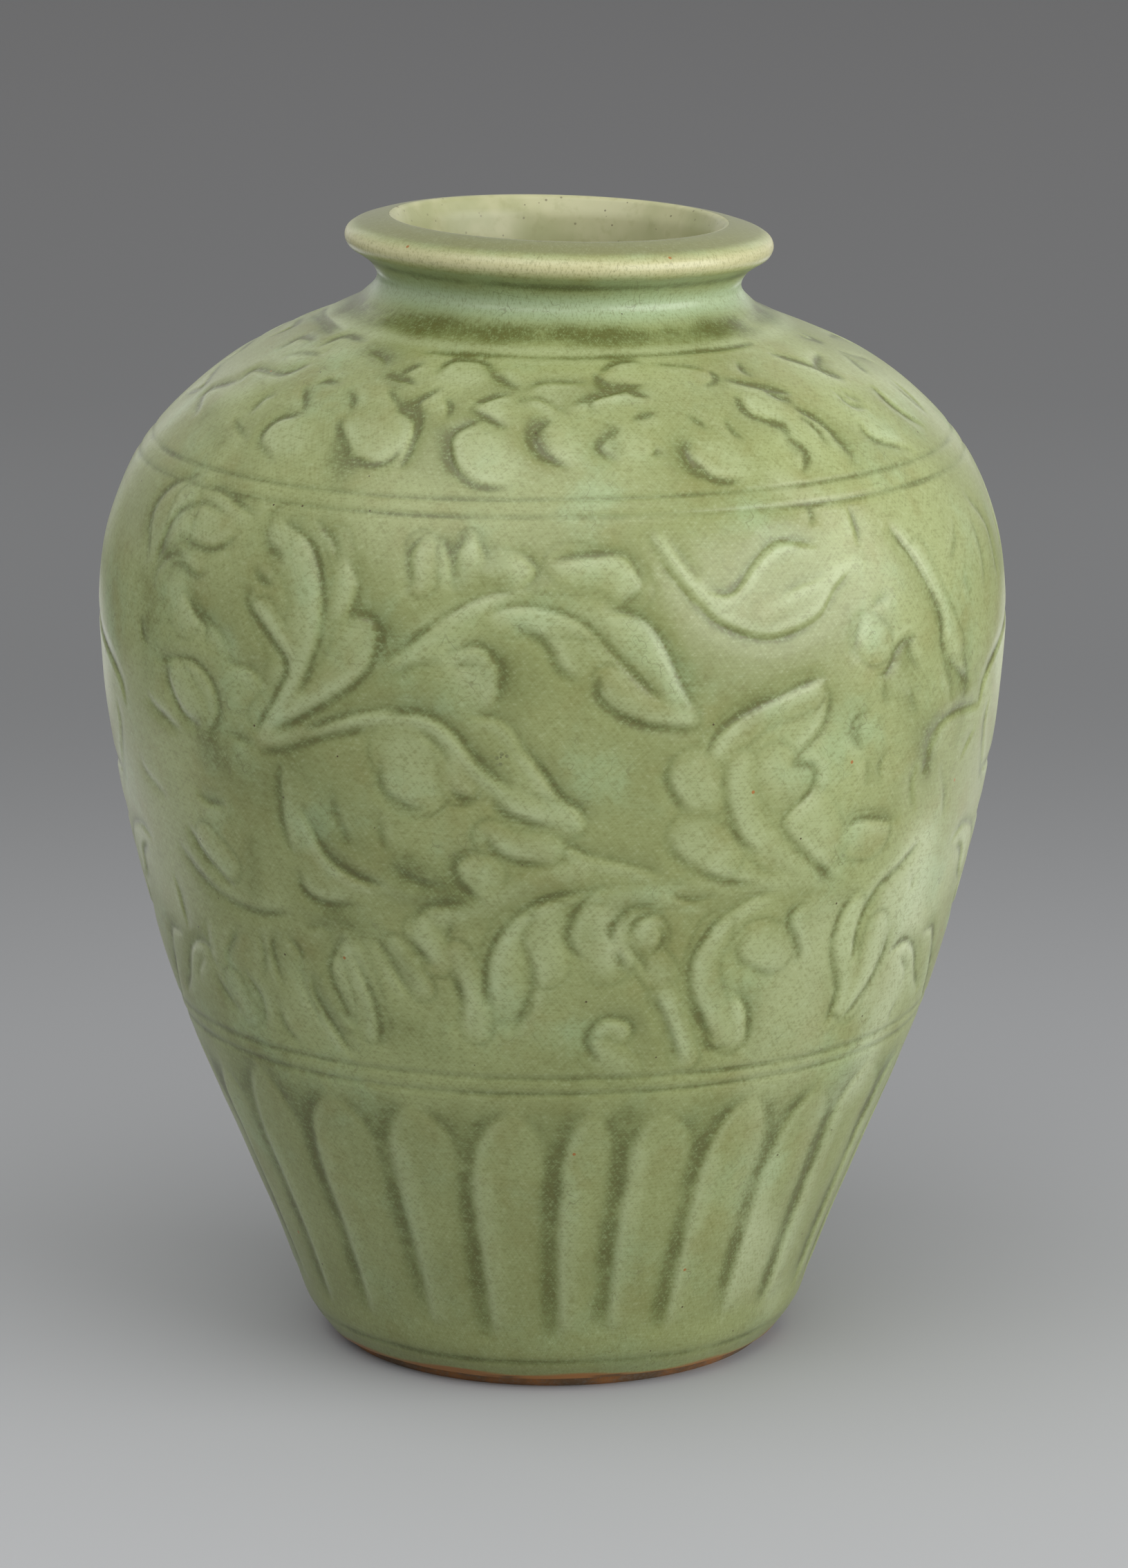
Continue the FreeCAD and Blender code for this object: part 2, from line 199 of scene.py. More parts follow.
right_edge_scroll = [
    ("left", slight, [(1392, 708), (1428, 762), (1444, 838)]),
    ("left", slight, [(1402, 742), (1420, 800), (1424, 850)]),
    ("left", plain, [(1362, 945), (1374, 985), (1376, 1015)]),
    ("left", slight, [(1392, 935), (1398, 975), (1394, 1010)]),
    ("right", slight, [(1290, 1082), (1274, 1105), (1274, 1140)]),
    ("left", slight, [(1360, 1105), (1366, 1150), (1362, 1185)]),
    ("right", slight, [(1325, 1100), (1318, 1140), (1322, 1175)]),
    ("right", plain, [(1340, 1112), (1348, 1065), (1378, 1032), (1418, 1016)]),
    ("right", plain, [(1262, 1028), (1240, 1040), (1232, 1062), (1245, 1082)]),
    ("right", deep, [(1283, 757), (1328, 817), (1361, 888), (1368, 942), (1403, 988)]),
    ("left", slight, [(1377, 745), (1381, 772), (1373, 822)]),
    ("left", slight, [(1390, 828), (1398, 845), (1405, 865)]),
    ("right", plain, [(1250, 885), (1240, 930), (1242, 955)]),
    ("below", slight, [(1262, 884), (1270, 872), (1290, 862)]),
    ("left", plain, [(1330, 915), (1300, 933), (1283, 970), (1265, 977)]),
    ("right", plain, [(1325, 918), (1316, 938), (1332, 972)]),
    ("left", plain, [(1250, 1035), (1238, 1062), (1250, 1090)]),
    ("right", slight, [(1284, 985), (1280, 1005), (1290, 1018)]),
    ("right", slight, [(1318, 995), (1322, 1015), (1330, 1030)]),
    ("right", plain, [(1362, 1045), (1345, 1082), (1338, 1105)]),
    ("right", slight, [(1410, 1050), (1398, 1075), (1388, 1100)]),
    ("left", deep, [(1330, 1216), (1303, 1251), (1268, 1286), (1242, 1335), (1230, 1392)]),
    ("right", deep, [(1245, 1283), (1215, 1328), (1204, 1382), (1212, 1432), (1194, 1483)]),
    ("left", plain, [(1290, 1335), (1276, 1380), (1253, 1426), (1212, 1482)]),
    ("left", slight, [(1320, 1265), (1318, 1290)]),
    ("left", slight, [(1300, 1440), (1290, 1462), (1284, 1482)]),
    ("left", slight, [(1340, 1095), (1336, 1120)]),
]
broad_leaf_on_the_right = [
    ("below", deep, [(1196, 978), (1130, 1007), (1068, 1038), (1036, 1067), (1020, 1102)]),
    ("left", deep, [(1193, 992), (1200, 1012), (1187, 1057), (1142, 1104)]),
    ("right", plain, [(1054, 1100), (1049, 1140), (1067, 1207), (1100, 1240)]),
    ("right", deep, [(1140, 1103), (1178, 1110), (1174, 1144), (1134, 1188), (1153, 1225), (1210, 1275)]),
    ("below", plain, [(1218, 1212), (1242, 1186), (1300, 1187)]),
    ("left", slight, [(1250, 1092), (1254, 1115), (1248, 1145)]),
]
stem_and_lower_leaves = [
    ("right", plain, [(407, 1100), (405, 1147), (415, 1213), (433, 1240)]),
    ("above", deep, [(433, 1257), (440, 1287), (473, 1307), (517, 1307)]),
    ("below", deep, [(433, 1163), (453, 1203), (477, 1243), (517, 1270), (560, 1283)]),
    ("right", plain, [(480, 1150), (490, 1187), (507, 1223)]),
    ("right", plain, [(553, 1095), (555, 1143), (600, 1170)]),
    ("above", plain, [(560, 1152), (592, 1168), (618, 1165)]),
    ("above", plain, [(648, 1140), (673, 1155), (692, 1150)]),
    ("above", deep, [(708, 1156), (743, 1183), (808, 1199)]),
    ("above", plain, [(702, 1202), (717, 1231), (752, 1247), (800, 1250)]),
    ("below", plain, [(800, 1208), (848, 1236), (915, 1252), (962, 1269)]),
    ("right", deep, [(976, 1095), (966, 1132), (996, 1182)]),
    ("right", plain, [(962, 1205), (980, 1240), (1018, 1262)]),
    ("above", deep, [(1002, 1256), (1043, 1273), (1095, 1279)]),
    ("above", deep, [(566, 1250), (600, 1274), (648, 1286)]),
    ("right", plain, [(690, 1233), (659, 1250), (668, 1281), (707, 1313)]),
]
hanging_leaves = [
    ("right", slight, [(548, 1170), (552, 1205), (565, 1235)]),
    ("left", slight, [(372, 1345), (382, 1380), (380, 1420)]),
    ("left", slight, [(432, 1395), (445, 1440), (470, 1490)]),
    ("right", slight, [(400, 1440), (415, 1485), (440, 1515)]),
    ("below", slight, [(440, 1345), (465, 1340), (480, 1352)]),
    ("left", slight, [(948, 1335), (958, 1352), (950, 1372), (930, 1380)]),
    ("right", plain, [(893, 1372), (900, 1395), (908, 1412)]),
    ("above", plain, [(1012, 1495), (1030, 1515), (1055, 1512)]),
    ("below", slight, [(960, 1290), (1000, 1303), (1040, 1296)]),
    ("right", plain, [(352, 1400), (380, 1447), (386, 1492)]),
    ("left", plain, [(402, 1345), (393, 1372), (411, 1432)]),
    ("left", slight, [(410, 1350), (434, 1378), (430, 1396)]),
    ("right", deep, [(500, 1353), (478, 1400), (498, 1451), (513, 1485)]),
    ("left", deep, [(448, 1405), (462, 1452), (511, 1528)]),
    ("left", plain, [(510, 1378), (541, 1450), (549, 1494), (544, 1516)]),
    ("left", slight, [(538, 1352), (565, 1387), (580, 1404)]),
    ("below", plain, [(592, 1345), (618, 1313), (680, 1308)]),
    ("right", slight, [(655, 1330), (647, 1368)]),
    ("right", deep, [(588, 1352), (628, 1400)]),
    ("left", plain, [(562, 1382), (582, 1424), (598, 1444)]),
    ("right", deep, [(654, 1402), (669, 1447), (661, 1495)]),
    ("right", deep, [(845, 1290), (778, 1307), (733, 1340), (707, 1387), (705, 1438), (711, 1460)]),
    ("right", plain, [(776, 1324), (757, 1360), (772, 1410), (765, 1447), (741, 1498)]),
    ("right", deep, [(862, 1287), (833, 1322), (821, 1360), (845, 1394)]),
    ("below", slight, [(830, 1294), (862, 1287), (895, 1286)]),
    ("right", deep, [(890, 1368), (886, 1345), (912, 1317), (950, 1312)]),
    ("below", deep, [(908, 1360), (924, 1332), (960, 1320)]),
    ("left", slight, [(905, 1368), (930, 1396), (930, 1412)]),
    ("right", plain, [(1025, 1350), (1000, 1393), (1000, 1442), (1014, 1485)]),
    ("right", deep, [(943, 1435), (962, 1479), (984, 1540)]),
    ("right", deep, [(868, 1538), (848, 1508), (869, 1475), (907, 1478), (914, 1495), (897, 1518)]),
    ("below", deep, [(1120, 1290), (1080, 1305), (1040, 1333), (1008, 1373)]),
    ("right", deep, [(1003, 1440), (1021, 1488), (1036, 1506)]),
    ("above", plain, [(1078, 1350), (1068, 1384), (1107, 1408), (1135, 1404)]),
    ("right", deep, [(1168, 1302), (1141, 1330), (1157, 1378), (1148, 1402)]),
    ("left", deep, [(1056, 1428), (1080, 1460), (1079, 1503), (1067, 1521)]),
]
shoulder_lobes_on_the_left = [
    ("right", slight, [(500, 560), (512, 578), (508, 600)]),
    ("left", slight, [(340, 604), (347, 622), (362, 640)]),
    ("left", slight, [(640, 572), (649, 590), (644, 608)]),
    ("below", slight, [(528, 512), (548, 520), (556, 534)]),
    ("right", slight, [(448, 462), (470, 470), (492, 484)]),
    ("left", slight, [(455, 560), (470, 552), (494, 556)]),
    ("below", slight, [(404, 520), (430, 516), (462, 520)]),
    ("above", plain, [(500, 655), (530, 669), (560, 666), (582, 645)]),
    ("left", slight, [(437, 560), (441, 590), (436, 600)]),
    ("below", plain, [(398, 511), (433, 493), (449, 500)]),
    ("below", plain, [(455, 508), (492, 492), (522, 500)]),
    ("right", plain, [(285, 600), (299, 566), (343, 554)]),
    ("below", plain, [(343, 556), (367, 537), (406, 544), (448, 530)]),
    ("right", plain, [(363, 600), (380, 578), (398, 573)]),
    ("right", deep, [(398, 668), (377, 636), (400, 608), (438, 600)]),
    ("right", deep, [(497, 602), (492, 618), (504, 653), (498, 667)]),
    ("left", deep, [(573, 592), (602, 608), (595, 643), (577, 680)]),
    ("below", plain, [(555, 545), (583, 552), (600, 560)]),
    ("below", plain, [(575, 545), (592, 535), (612, 526)]),
    ("left", slight, [(558, 565), (580, 592)]),
]
shoulder_lobes_in_the_middle = [
    ("right", plain, [(706, 540), (728, 552), (750, 566)]),
    ("below", slight, [(600, 513), (700, 516), (800, 518), (880, 515), (960, 509), (1040, 500), (1088, 490)]),
    ("left", slight, [(1060, 516), (1066, 530), (1084, 542)]),
    ("right", slight, [(990, 596), (1010, 608), (1026, 622)]),
    ("below", slight, [(900, 560), (915, 570), (940, 574)]),
    ("left", slight, [(1045, 600), (1056, 622), (1080, 640)]),
    ("right", slight, [(860, 566), (852, 584), (862, 600)]),
    ("below", plain, [(625, 545), (650, 524), (693, 526), (708, 540)]),
    ("below", plain, [(640, 560), (603, 582), (598, 597)]),
    ("above", deep, [(676, 585), (705, 603), (737, 620)]),
    ("below", deep, [(680, 587), (717, 573), (740, 570)]),
    ("below", plain, [(753, 570), (780, 553), (847, 553)]),
    ("above", plain, [(853, 535), (876, 557), (930, 553)]),
    ("below", deep, [(745, 582), (778, 576), (822, 601)]),
    ("below", deep, [(812, 588), (862, 573), (910, 560)]),
    ("right", deep, [(700, 606), (655, 628), (655, 670), (688, 700), (740, 704)]),
    ("right", deep, [(800, 606), (771, 626), (783, 654), (828, 676)]),
    ("right", plain, [(900, 618), (872, 635), (868, 650), (897, 668)]),
    ("below", plain, [(910, 608), (930, 602), (950, 596)]),
    ("left", slight, [(950, 645), (944, 662)]),
    ("right", deep, [(1000, 640), (990, 652), (1006, 679), (1022, 689)]),
]
shoulder_lobes_on_the_right = [
    ("left", plain, [(1178, 503), (1176, 525), (1200, 540), (1222, 548)]),
    ("below", slight, [(1148, 473), (1166, 480), (1184, 493)]),
    ("below", slight, [(1098, 557), (1120, 572), (1142, 578)]),
    ("left", slight, [(1150, 600), (1176, 618), (1200, 650)]),
    ("left", slight, [(1215, 560), (1226, 572), (1250, 580)]),
    ("below", slight, [(1205, 500), (1228, 516), (1250, 536)]),
    ("below", plain, [(862, 540), (880, 525), (905, 520), (930, 524)]),
    ("below", slight, [(930, 524), (980, 526), (1018, 532)]),
    ("left", plain, [(1018, 530), (1030, 545), (1012, 556)]),
    ("below", plain, [(1105, 505), (1163, 523), (1222, 546)]),
    ("below", deep, [(1040, 545), (1100, 558), (1145, 568)]),
    ("above", deep, [(1062, 566), (1080, 594), (1132, 616), (1138, 632)]),
    ("left", plain, [(1133, 632), (1164, 655), (1160, 688)]),
    ("left", deep, [(1145, 588), (1190, 613), (1233, 661)]),
    ("below", plain, [(1200, 560), (1232, 586), (1257, 589)]),
    ("above", deep, [(1238, 605), (1262, 633), (1322, 650)]),
    ("below", slight, [(1222, 513), (1256, 540)]),
    ("above", deep, [(1258, 556), (1298, 590), (1338, 617)]),
    ("below", slight, [(1285, 550), (1345, 600)]),
    ("above", deep, [(1000, 662), (1033, 691), (1078, 694)]),
]
carved_forms = [
    left_edge_scroll, tall_leaf_on_the_left, leaf_fan_at_the_top, long_leaf_in_the_middle,
    tendril_on_the_right, right_edge_scroll, broad_leaf_on_the_right, stem_and_lower_leaves,
    hanging_leaves, shoulder_lobes_on_the_left, shoulder_lobes_in_the_middle, shoulder_lobes_on_the_right,
]
# Broad smoky stains in the glaze: width, strength, pixels
smoky_patches = [
    (12 * mm, 0.3, [(300, 1060), (370, 1140)]),
    (8 * mm, 0.3, [(205, 720), (235, 800)]),
    (8 * mm, 0.28, [(240, 850), (230, 930)]),
    (6 * mm, 0.35, [(537, 884), (559, 912)]),
    (6 * mm, 0.35, [(430, 1110), (470, 1150)]),
    (6 * mm, 0.35, [(490, 1170), (505, 1220)]),
    (5 * mm, 0.35, [(365, 1225), (367, 1290)]),
    (7 * mm, 0.5, [(590, 1265), (660, 1295)]),
    (6 * mm, 0.35, [(480, 1330), (530, 1345)]),
    (12 * mm, 0.3, [(290, 1470), (420, 1540)]),
    (7 * mm, 0.35, [(540, 1470), (630, 1500)]),
    (5 * mm, 0.4, [(486, 668), (490, 690)]),
    (6 * mm, 0.35, [(530, 508), (556, 522)]),
    (7 * mm, 0.35, [(719, 966), (752, 1000)]),
    (7 * mm, 0.3, [(205, 840), (212, 1000)]),
    (7 * mm, 0.3, [(600, 1540), (690, 1548)]),
    (8 * mm, 0.3, [(820, 1545), (900, 1560)]),
    (8 * mm, 0.3, [(1000, 970), (1100, 1010)]),
    (4 * mm, 0.35, [(700, 1110), (735, 1150)]),
    (5 * mm, 0.28, [(590, 1250), (640, 1280)]),
    (5 * mm, 0.30, [(820, 1330), (850, 1350)]),
    (6 * mm, 0.22, [(860, 1000), (960, 1060)]),
    (6 * mm, 0.25, [(385, 760), (400, 800)]),
    (5 * mm, 0.28, [(296, 1060), (306, 1090)]),
    (4 * mm, 0.30, [(500, 1330), (515, 1350)]),
    (5 * mm, 0.25, [(1190, 1265), (1225, 1285)]),
    (7 * mm, 0.22, [(1300, 960), (1330, 1060)]),
    (6 * mm, 0.20, [(560, 955), (610, 960)]),
    (6 * mm, 0.22, [(1080, 920), (1130, 960)]),
    (8 * mm, 0.18, [(250, 1150), (300, 1300)]),
    (7 * mm, 0.30, [(1335, 985), (1345, 1120)]),
    (6 * mm, 0.32, [(1400, 930), (1388, 1060)]),
    (3 * mm, 0.40, [(1352, 1045), (1340, 1112)]),
    (3 * mm, 0.35, [(640, 625), (650, 680)]),
    (3 * mm, 0.35, [(775, 610), (785, 650)]),
    (3 * mm, 0.32, [(880, 615), (890, 650)]),
    (4 * mm, 0.30, [(985, 640), (990, 670)]),
    (3 * mm, 0.35, [(1130, 615), (1150, 650)]),
    (4 * mm, 0.35, [(1215, 640), (1240, 670)]),
    (3 * mm, 0.32, [(560, 545), (575, 560)]),
    (3 * mm, 0.45, [(590, 590), (600, 600)]),
    (3 * mm, 0.35, [(490, 640), (505, 670)]),
    (3 * mm, 0.35, [(700, 540), (715, 545)]),
    (3 * mm, 0.35, [(740, 560), (750, 575)]),
    (5 * mm, 0.30, [(300, 600), (320, 640)]),
    (3 * mm, 0.30, [(870, 555), (900, 560)]),
    (3 * mm, 0.30, [(1220, 580), (1240, 590)]),
    (3 * mm, 0.28, [(1110, 565), (1140, 580)]),
]

# Broad pale places: a few where the glaze is thin, and painted light, a pale lit sheen over the lower right
# of the body
thin_and_lit_patches = [
    # painted light: a pale lit sheen over the lower right of the body
    (9 * mm, 0.45, [(1190, 1330), (1160, 1540)]),
    (9 * mm, 0.4, [(1130, 1400), (1090, 1560)]),
    (8 * mm, 0.45, [(1110, 1610), (1070, 1860)]),
    (8 * mm, 0.45, [(1190, 1600), (1140, 1800)]),
    (10 * mm, 0.9, [(1330, 1230), (1300, 1400), (1240, 1560)]),
    (7 * mm, 0.6, [(1290, 1290), (1250, 1440)]),
    (8 * mm, 0.5, [(1100, 1780), (1120, 1880)]),
    # places where the glaze lies thin and pale
    (6 * mm, 0.5, [(1130, 700), (1190, 730)]),
    (6 * mm, 0.4, [(660, 950), (700, 1000)]),
    (5 * mm, 0.5, [(880, 1330), (890, 1380)]),
]

# A small pitted place in the glaze, in pixels
pitted_pixel = (727, 1098)

# Rounded bodies of the leaves, buds and stems, in pixels of the photograph: half width, points
stems = [
    (2.4 * mm, [(380, 1065), (460, 1045), (550, 1035), (610, 1040), (690, 1120), (790, 1190)]),
    (2.4 * mm, [(380, 1050), (460, 1010), (530, 970), (600, 910), (670, 880), (750, 860)]),
    (2.2 * mm, [(490, 1230), (530, 1260), (580, 1290), (650, 1300)]),
    (2.6 * mm, [(1200, 1270), (1100, 1280), (1000, 1290), (900, 1300)]),
    (2.6 * mm, [(840, 1260), (780, 1275), (700, 1310), (640, 1330)]),
    (2.2 * mm, [(955, 785), (990, 830), (1035, 865), (1075, 840), (1110, 800), (1140, 780)]),
    (2.4 * mm, [(1100, 890), (1150, 860), (1200, 830), (1240, 815)]),
]
upper_leaf_bodies = [
    (3.2 * mm, [(380, 890), (415, 950), (420, 990), (380, 1040)]),
    (4.2 * mm, [(515, 920), (490, 980), (430, 1030)]),
    (3.4 * mm, [(425, 800), (442, 860), (432, 930), (405, 980)]),
    (2.4 * mm, [(490, 780), (500, 830), (490, 880)]),
    (2.8 * mm, [(400, 770), (415, 810)]),
    (2.8 * mm, [(610, 790), (610, 840)]),
    (2.4 * mm, [(680, 785), (675, 840)]),
    (3.4 * mm, [(715, 820), (752, 835)]),
    (3.8 * mm, [(820, 815), (880, 825), (915, 850)]),
    (3.6 * mm, [(730, 890), (800, 890), (870, 900), (930, 950), (970, 1000)]),
    (2.8 * mm, [(880, 985), (930, 1025), (990, 1040)]),
    (3.6 * mm, [(1040, 1080), (1100, 1030), (1170, 1000)]),
    (2.6 * mm, [(1330, 800), (1355, 860), (1385, 930)]),
    (4.0 * mm, [(1255, 920), (1268, 930)]),
    (2.6 * mm, [(1295, 980), (1305, 990)]),
    (4.2 * mm, [(268, 730), (255, 775)]),
    (4.2 * mm, [(255, 860), (268, 890)]),
    (3.4 * mm, [(260, 985), (285, 1025)]),
]
lower_leaf_bodies = [
    (6.5 * mm, [(585, 1090), (600, 1130)]),
    (3.4 * mm, [(655, 1085), (665, 1138)]),
    (2.8 * mm, [(740, 1165), (790, 1180), (825, 1190)]),
    (3.2 * mm, [(710, 1210), (740, 1225), (790, 1230)]),
    (4.0 * mm, [(680, 1262), (700, 1268)]),
    (3.2 * mm, [(610, 1345), (635, 1390)]),
    (2.8 * mm, [(500, 1360), (520, 1400), (535, 1450), (540, 1490)]),
    (2.6 * mm, [(480, 1430), (497, 1475)]),
    (2.6 * mm, [(570, 1370), (590, 1400), (610, 1430)]),
    (2.8 * mm, [(660, 1380), (680, 1420), (690, 1460), (690, 1490)]),
    (4.0 * mm, [(745, 1345), (725, 1400), (735, 1450)]),
    (4.0 * mm, [(800, 1335), (790, 1400)]),
    (5.0 * mm, [(865, 1345), (878, 1388)]),
    (3.8 * mm, [(932, 1345), (938, 1355)]),
    (3.4 * mm, [(945, 1395), (955, 1410)]),
    (5.0 * mm, [(1005, 1120), (1020, 1145)]),
    (3.4 * mm, [(1070, 1110), (1072, 1160), (1090, 1205), (1130, 1240), (1170, 1265)]),
    (5.0 * mm, [(1120, 1115), (1145, 1140)]),
    (5.2 * mm, [(1172, 1180), (1192, 1222)]),
    (4.6 * mm, [(1240, 1208), (1262, 1208)]),
    (5.0 * mm, [(1002, 1212), (1038, 1240)]),
    (3.4 * mm, [(1035, 1345), (1015, 1400), (1030, 1460), (1055, 1500)]),
    (5.0 * mm, [(1095, 1365), (1115, 1375)]),
    (2.8 * mm, [(1235, 1310), (1222, 1360), (1228, 1400), (1220, 1450)]),
    (3.2 * mm, [(1268, 1340), (1252, 1400), (1228, 1455)]),
    (2.8 * mm, [(960, 1440), (975, 1480), (990, 1530)]),
    (2.6 * mm, [(1065, 1460), (1060, 1500)]),
    (3.8 * mm, [(868, 1528), (898, 1545)]),
    (3.4 * mm, [(300, 1215), (330, 1250)]),
    (2.8 * mm, [(340, 1420), (362, 1465)]),
]
shoulder_lobe_bodies = [
    (5.0 * mm, [(412, 628), (428, 640)]),
    (6.0 * mm, [(530, 622), (550, 645)]),
    (7.0 * mm, [(700, 648), (722, 672)]),
    (5.5 * mm, [(800, 636), (822, 652)]),
    (5.5 * mm, [(895, 636), (915, 645)]),
    (6.0 * mm, [(1030, 660), (1060, 672)]),
    (5.0 * mm, [(1145, 635), (1165, 655)]),
    (4.5 * mm, [(1255, 612), (1285, 630)]),
    (4.5 * mm, [(425, 518), (445, 515)]),
    (4.5 * mm, [(490, 515), (510, 515)]),
    (4.5 * mm, [(650, 545), (680, 548)]),
    (4.0 * mm, [(790, 572), (840, 575)]),
    (4.0 * mm, [(880, 572), (920, 572)]),
    (4.0 * mm, [(1090, 580), (1125, 592)]),
    (4.5 * mm, [(325, 575), (350, 572)]),
]
# Each group with how far a groove closes round it
rounded_bodies = [
    (stems, 0.3),
    (upper_leaf_bodies, 0.5),
    (lower_leaf_bodies, 0.55),
    (shoulder_lobe_bodies, 0.15),
]
body_swell = 0.16 * mm
rim_depth = 0.12 * mm

# The far side repeats the carving half a turn on, spread a little wider to close the pattern
far_side_spread = 1.25
# Each side has two leaves again: the form, its own angle, how much wider it is there, and how far lower
side_angle = math.radians(79)
side_leaves = [
    (broad_leaf_on_the_right, math.radians(26), 1.5, 0),
    (long_leaf_in_the_middle, math.radians(5), 1.0, 76 * mm),
]
picture_ways = {"right": (1, 0), "left": (-1, 0), "above": (0, -1), "below": (0, 1)}

# Paired rings cut round the body, and a faint one over the foot
shoulder_ring_heights = (246.7 * mm, 251.1 * mm)
lower_ring_heights = (93.3 * mm, 97.7 * mm)
ring_depth = 0.4 * mm
ring_half_width = 0.75 * mm
ring_wave = 0.35 * mm
foot_ring_height = 9 * mm
foot_ring_depth = 0.15 * mm
foot_ring_half_width = 1.2 * mm
foot_ring_wave = 0.3 * mm

# Lappet petals: angles in degrees of the uprights that show in the photograph, and heights
petal_count = 26
seen_uprights = [-44.6, -28.1, -14.3, 0.4, 11.1, 24.2, 38.3]
petal_foot = 16 * mm
petal_side = 62 * mm
petal_point = 87 * mm
# How far the hand wavers at each height, and round the vase in radians
foot_waver = 2 * mm
side_waver = 5 * mm
point_waver = 3.5 * mm
upright_sway = 0.006
point_sway = 0.02
crown_sway = 0.01
upright_steps = 24
arch_steps = 14
petal_cut = {
    "depth": 0.5 * mm, "taper": 10 * mm, "fade": 9 * mm, "steep_width": 3 * mm, "line_width": 2.6 * mm,
}
petal_arch = {
    "depth": 0.18 * mm, "taper": 8 * mm, "fade": 6 * mm, "steep_width": 3 * mm, "line_width": 2.6 * mm,
}
# A rounded ridge beside each upright, and smoke between the petal tops
ridge_offset = math.radians(3)
ridge_half_width = 2.8 * mm
ridge_foot = 6 * mm
ridge_top = 8 * mm
crown_reach = 5 * mm
crown_strength = 0.3
crown_unevenness = 0.16

# Bands of the carved skin: name, top, fineness of its grid. They meet on plain stretches.
skin_bands = [
    ("glaze_petal_band", 99.6 * mm, 0.95 * mm),
    ("glaze_lower_scroll", 168 * mm, 0.82 * mm),
    ("glaze_upper_scroll", 249 * mm, 0.9 * mm),
    ("glaze_shoulder_band", 280 * mm, 0.75 * mm),
    ("glaze_neck_and_lip", total_height, 0.6 * mm),
]

# Tones that go round the vase: height, half width, strength
buff_lip = (302.5 * mm, 2.6 * mm, 1)
pale_neck = (291 * mm, 4 * mm, 1)
root_pool = (284.8 * mm, 2.7 * mm, 0.85)
# painted shadow: a dark ring under the rolled lip, where its overhang shades the neck
under_lip_painted_shadow = (296.8 * mm, 1.3 * mm, 0.75)
collar_edge = (281.6 * mm, 1.1 * mm, 0.8)
# Tones that begin at a height: start, and how far they take to come full
olive_lip_top = (305 * mm, 1.5 * mm)
thick_shoulder = (250 * mm, 15 * mm)
# painted shade: the glaze darker towards the foot, where less light falls from above
foot_runs = (75 * mm, -65 * mm)
# How much thicker the glaze lies on the level shoulder, and how the tones yield to each other
shoulder_thickening = 0.45
pool_hides_edge = 0.7
pool_hides_body = 0.6
ground_sinks = 0.6
# The bare edge of clay over the foot: its mean height, its waves, and how softly it ends
bare_edge_height = 1.4 * mm
bare_edge_waves = (0.6 * mm, 0.4 * mm)
bare_edge_fade = 0.7 * mm
pitted_size = 1.6 * mm

# Uneven patches in the glaze: name, size, detail
mottle_sizes = [
    ("broad", 30 * mm, 2),
    ("cool", 13 * mm, 4),
    ("cloud", 9 * mm, 3),
    ("drift", 5 * mm, 2),
    ("fine", 1.2 * mm, 4),
]
# Short crossing hairs of the brushed glaze: their directions, their width and how much longer they are
hair_turns = (0.5, -0.7, 1.5)
hair_width = 0.7 * mm
hair_stretch = 5

# Clay and inner glaze near the neck: how near their corners are welded, and what counts as an edge
weld_distance = 0.001 * mm
sharp_angle = math.radians(35)

# Soft lights: name, place, aim, width, height, power
vase_middle = (0, 0, total_height / 2)
soft_lights = [
    ("soft_box_right", (2.4, -1.2, 0.8), vase_middle, 3.2, 2.4, 84),
    ("soft_box_above", (-0.6, -1.4, 2.7), vase_middle, 3.2, 3.2, 52),
    ("rear_strip_left", (-0.55, 1.3, 0.5), vase_middle, 0.16, 1.0, 0.4),
    ("rear_strip_right", (0.55, 1.3, 0.5), vase_middle, 0.16, 1.0, 0.4),
    ("low_panel_left", (-0.42, 0.3, 0.01), (-0.42, 0.3, 1), 0.3, 0.5, 0.25),
    ("low_panel_right", (0.42, 0.3, 0.01), (0.42, 0.3, 1), 0.3, 0.5, 0.3),
    ("far_panel_left", (-0.4, 0.85, 0.01), (-0.4, 0.85, 1), 0.2, 0.5, 0.3),
    ("far_panel_right", (0.4, 0.85, 0.01), (0.4, 0.85, 1), 0.2, 0.5, 0.3),
]
room_tone = "#c8c8c8"
room_strength = 0.92
floor_half_width = 12


# Outline of the outside
def spread(low_radius, high_radius, shares):
    return [(low_radius + (high_radius - low_radius) * out, total_height * up) for out, up in shares]


def smooth_outline(stations, step):
    # a smooth line through the stations, in short even steps
    points = np.array(stations)
    chords = np.linalg.norm(np.diff(points, axis=0), axis=1)
    ways = np.diff(points, axis=0) / chords[:, None]
    inner = ways[:-1] * chords[1:, None] + ways[1:] * chords[:-1, None]
    tangents = np.vstack([ways[:1], inner / np.linalg.norm(inner, axis=1)[:, None], [[-1, 0]]])
    line = []
    for i, chord in enumerate(chords):
        t = np.linspace(0, 1, outline_pieces, endpoint=False)[:, None]
        start_pull = (t ** 3 - 2 * t ** 2 + t) * chord * tangents[i]
        end_pull = (t ** 3 - t ** 2) * chord * tangents[i + 1]
        line.append((2 * t ** 3 - 3 * t ** 2 + 1) * points[i] + (3 * t ** 2 - 2 * t ** 3) * points[i + 1]
                    + start_pull + end_pull)
    line = np.vstack(line + [points[-1:]])
    travelled = np.concatenate([[0], np.cumsum(np.linalg.norm(np.diff(line, axis=0), axis=1))])
    places = np.arange(0, travelled[-1], step)
    places = np.append(places, travelled[-1])
    return places, np.interp(places, travelled, line[:, 0]), np.interp(places, travelled, line[:, 1])


outside_stations = (spread(foot_radius, belly_radius, lower_shares)
                    + spread(neck_radius, belly_radius, upper_shares)
                    + spread(neck_radius, mouth_radius, lip_shares)
                    + spread(crest_radius, mouth_radius, lip_top_shares))
outline_way, outline_radius, outline_height = smooth_outline(outside_stations, map_step)
map_rows = len(outline_way)
column_angle = 2 * math.pi / map_columns


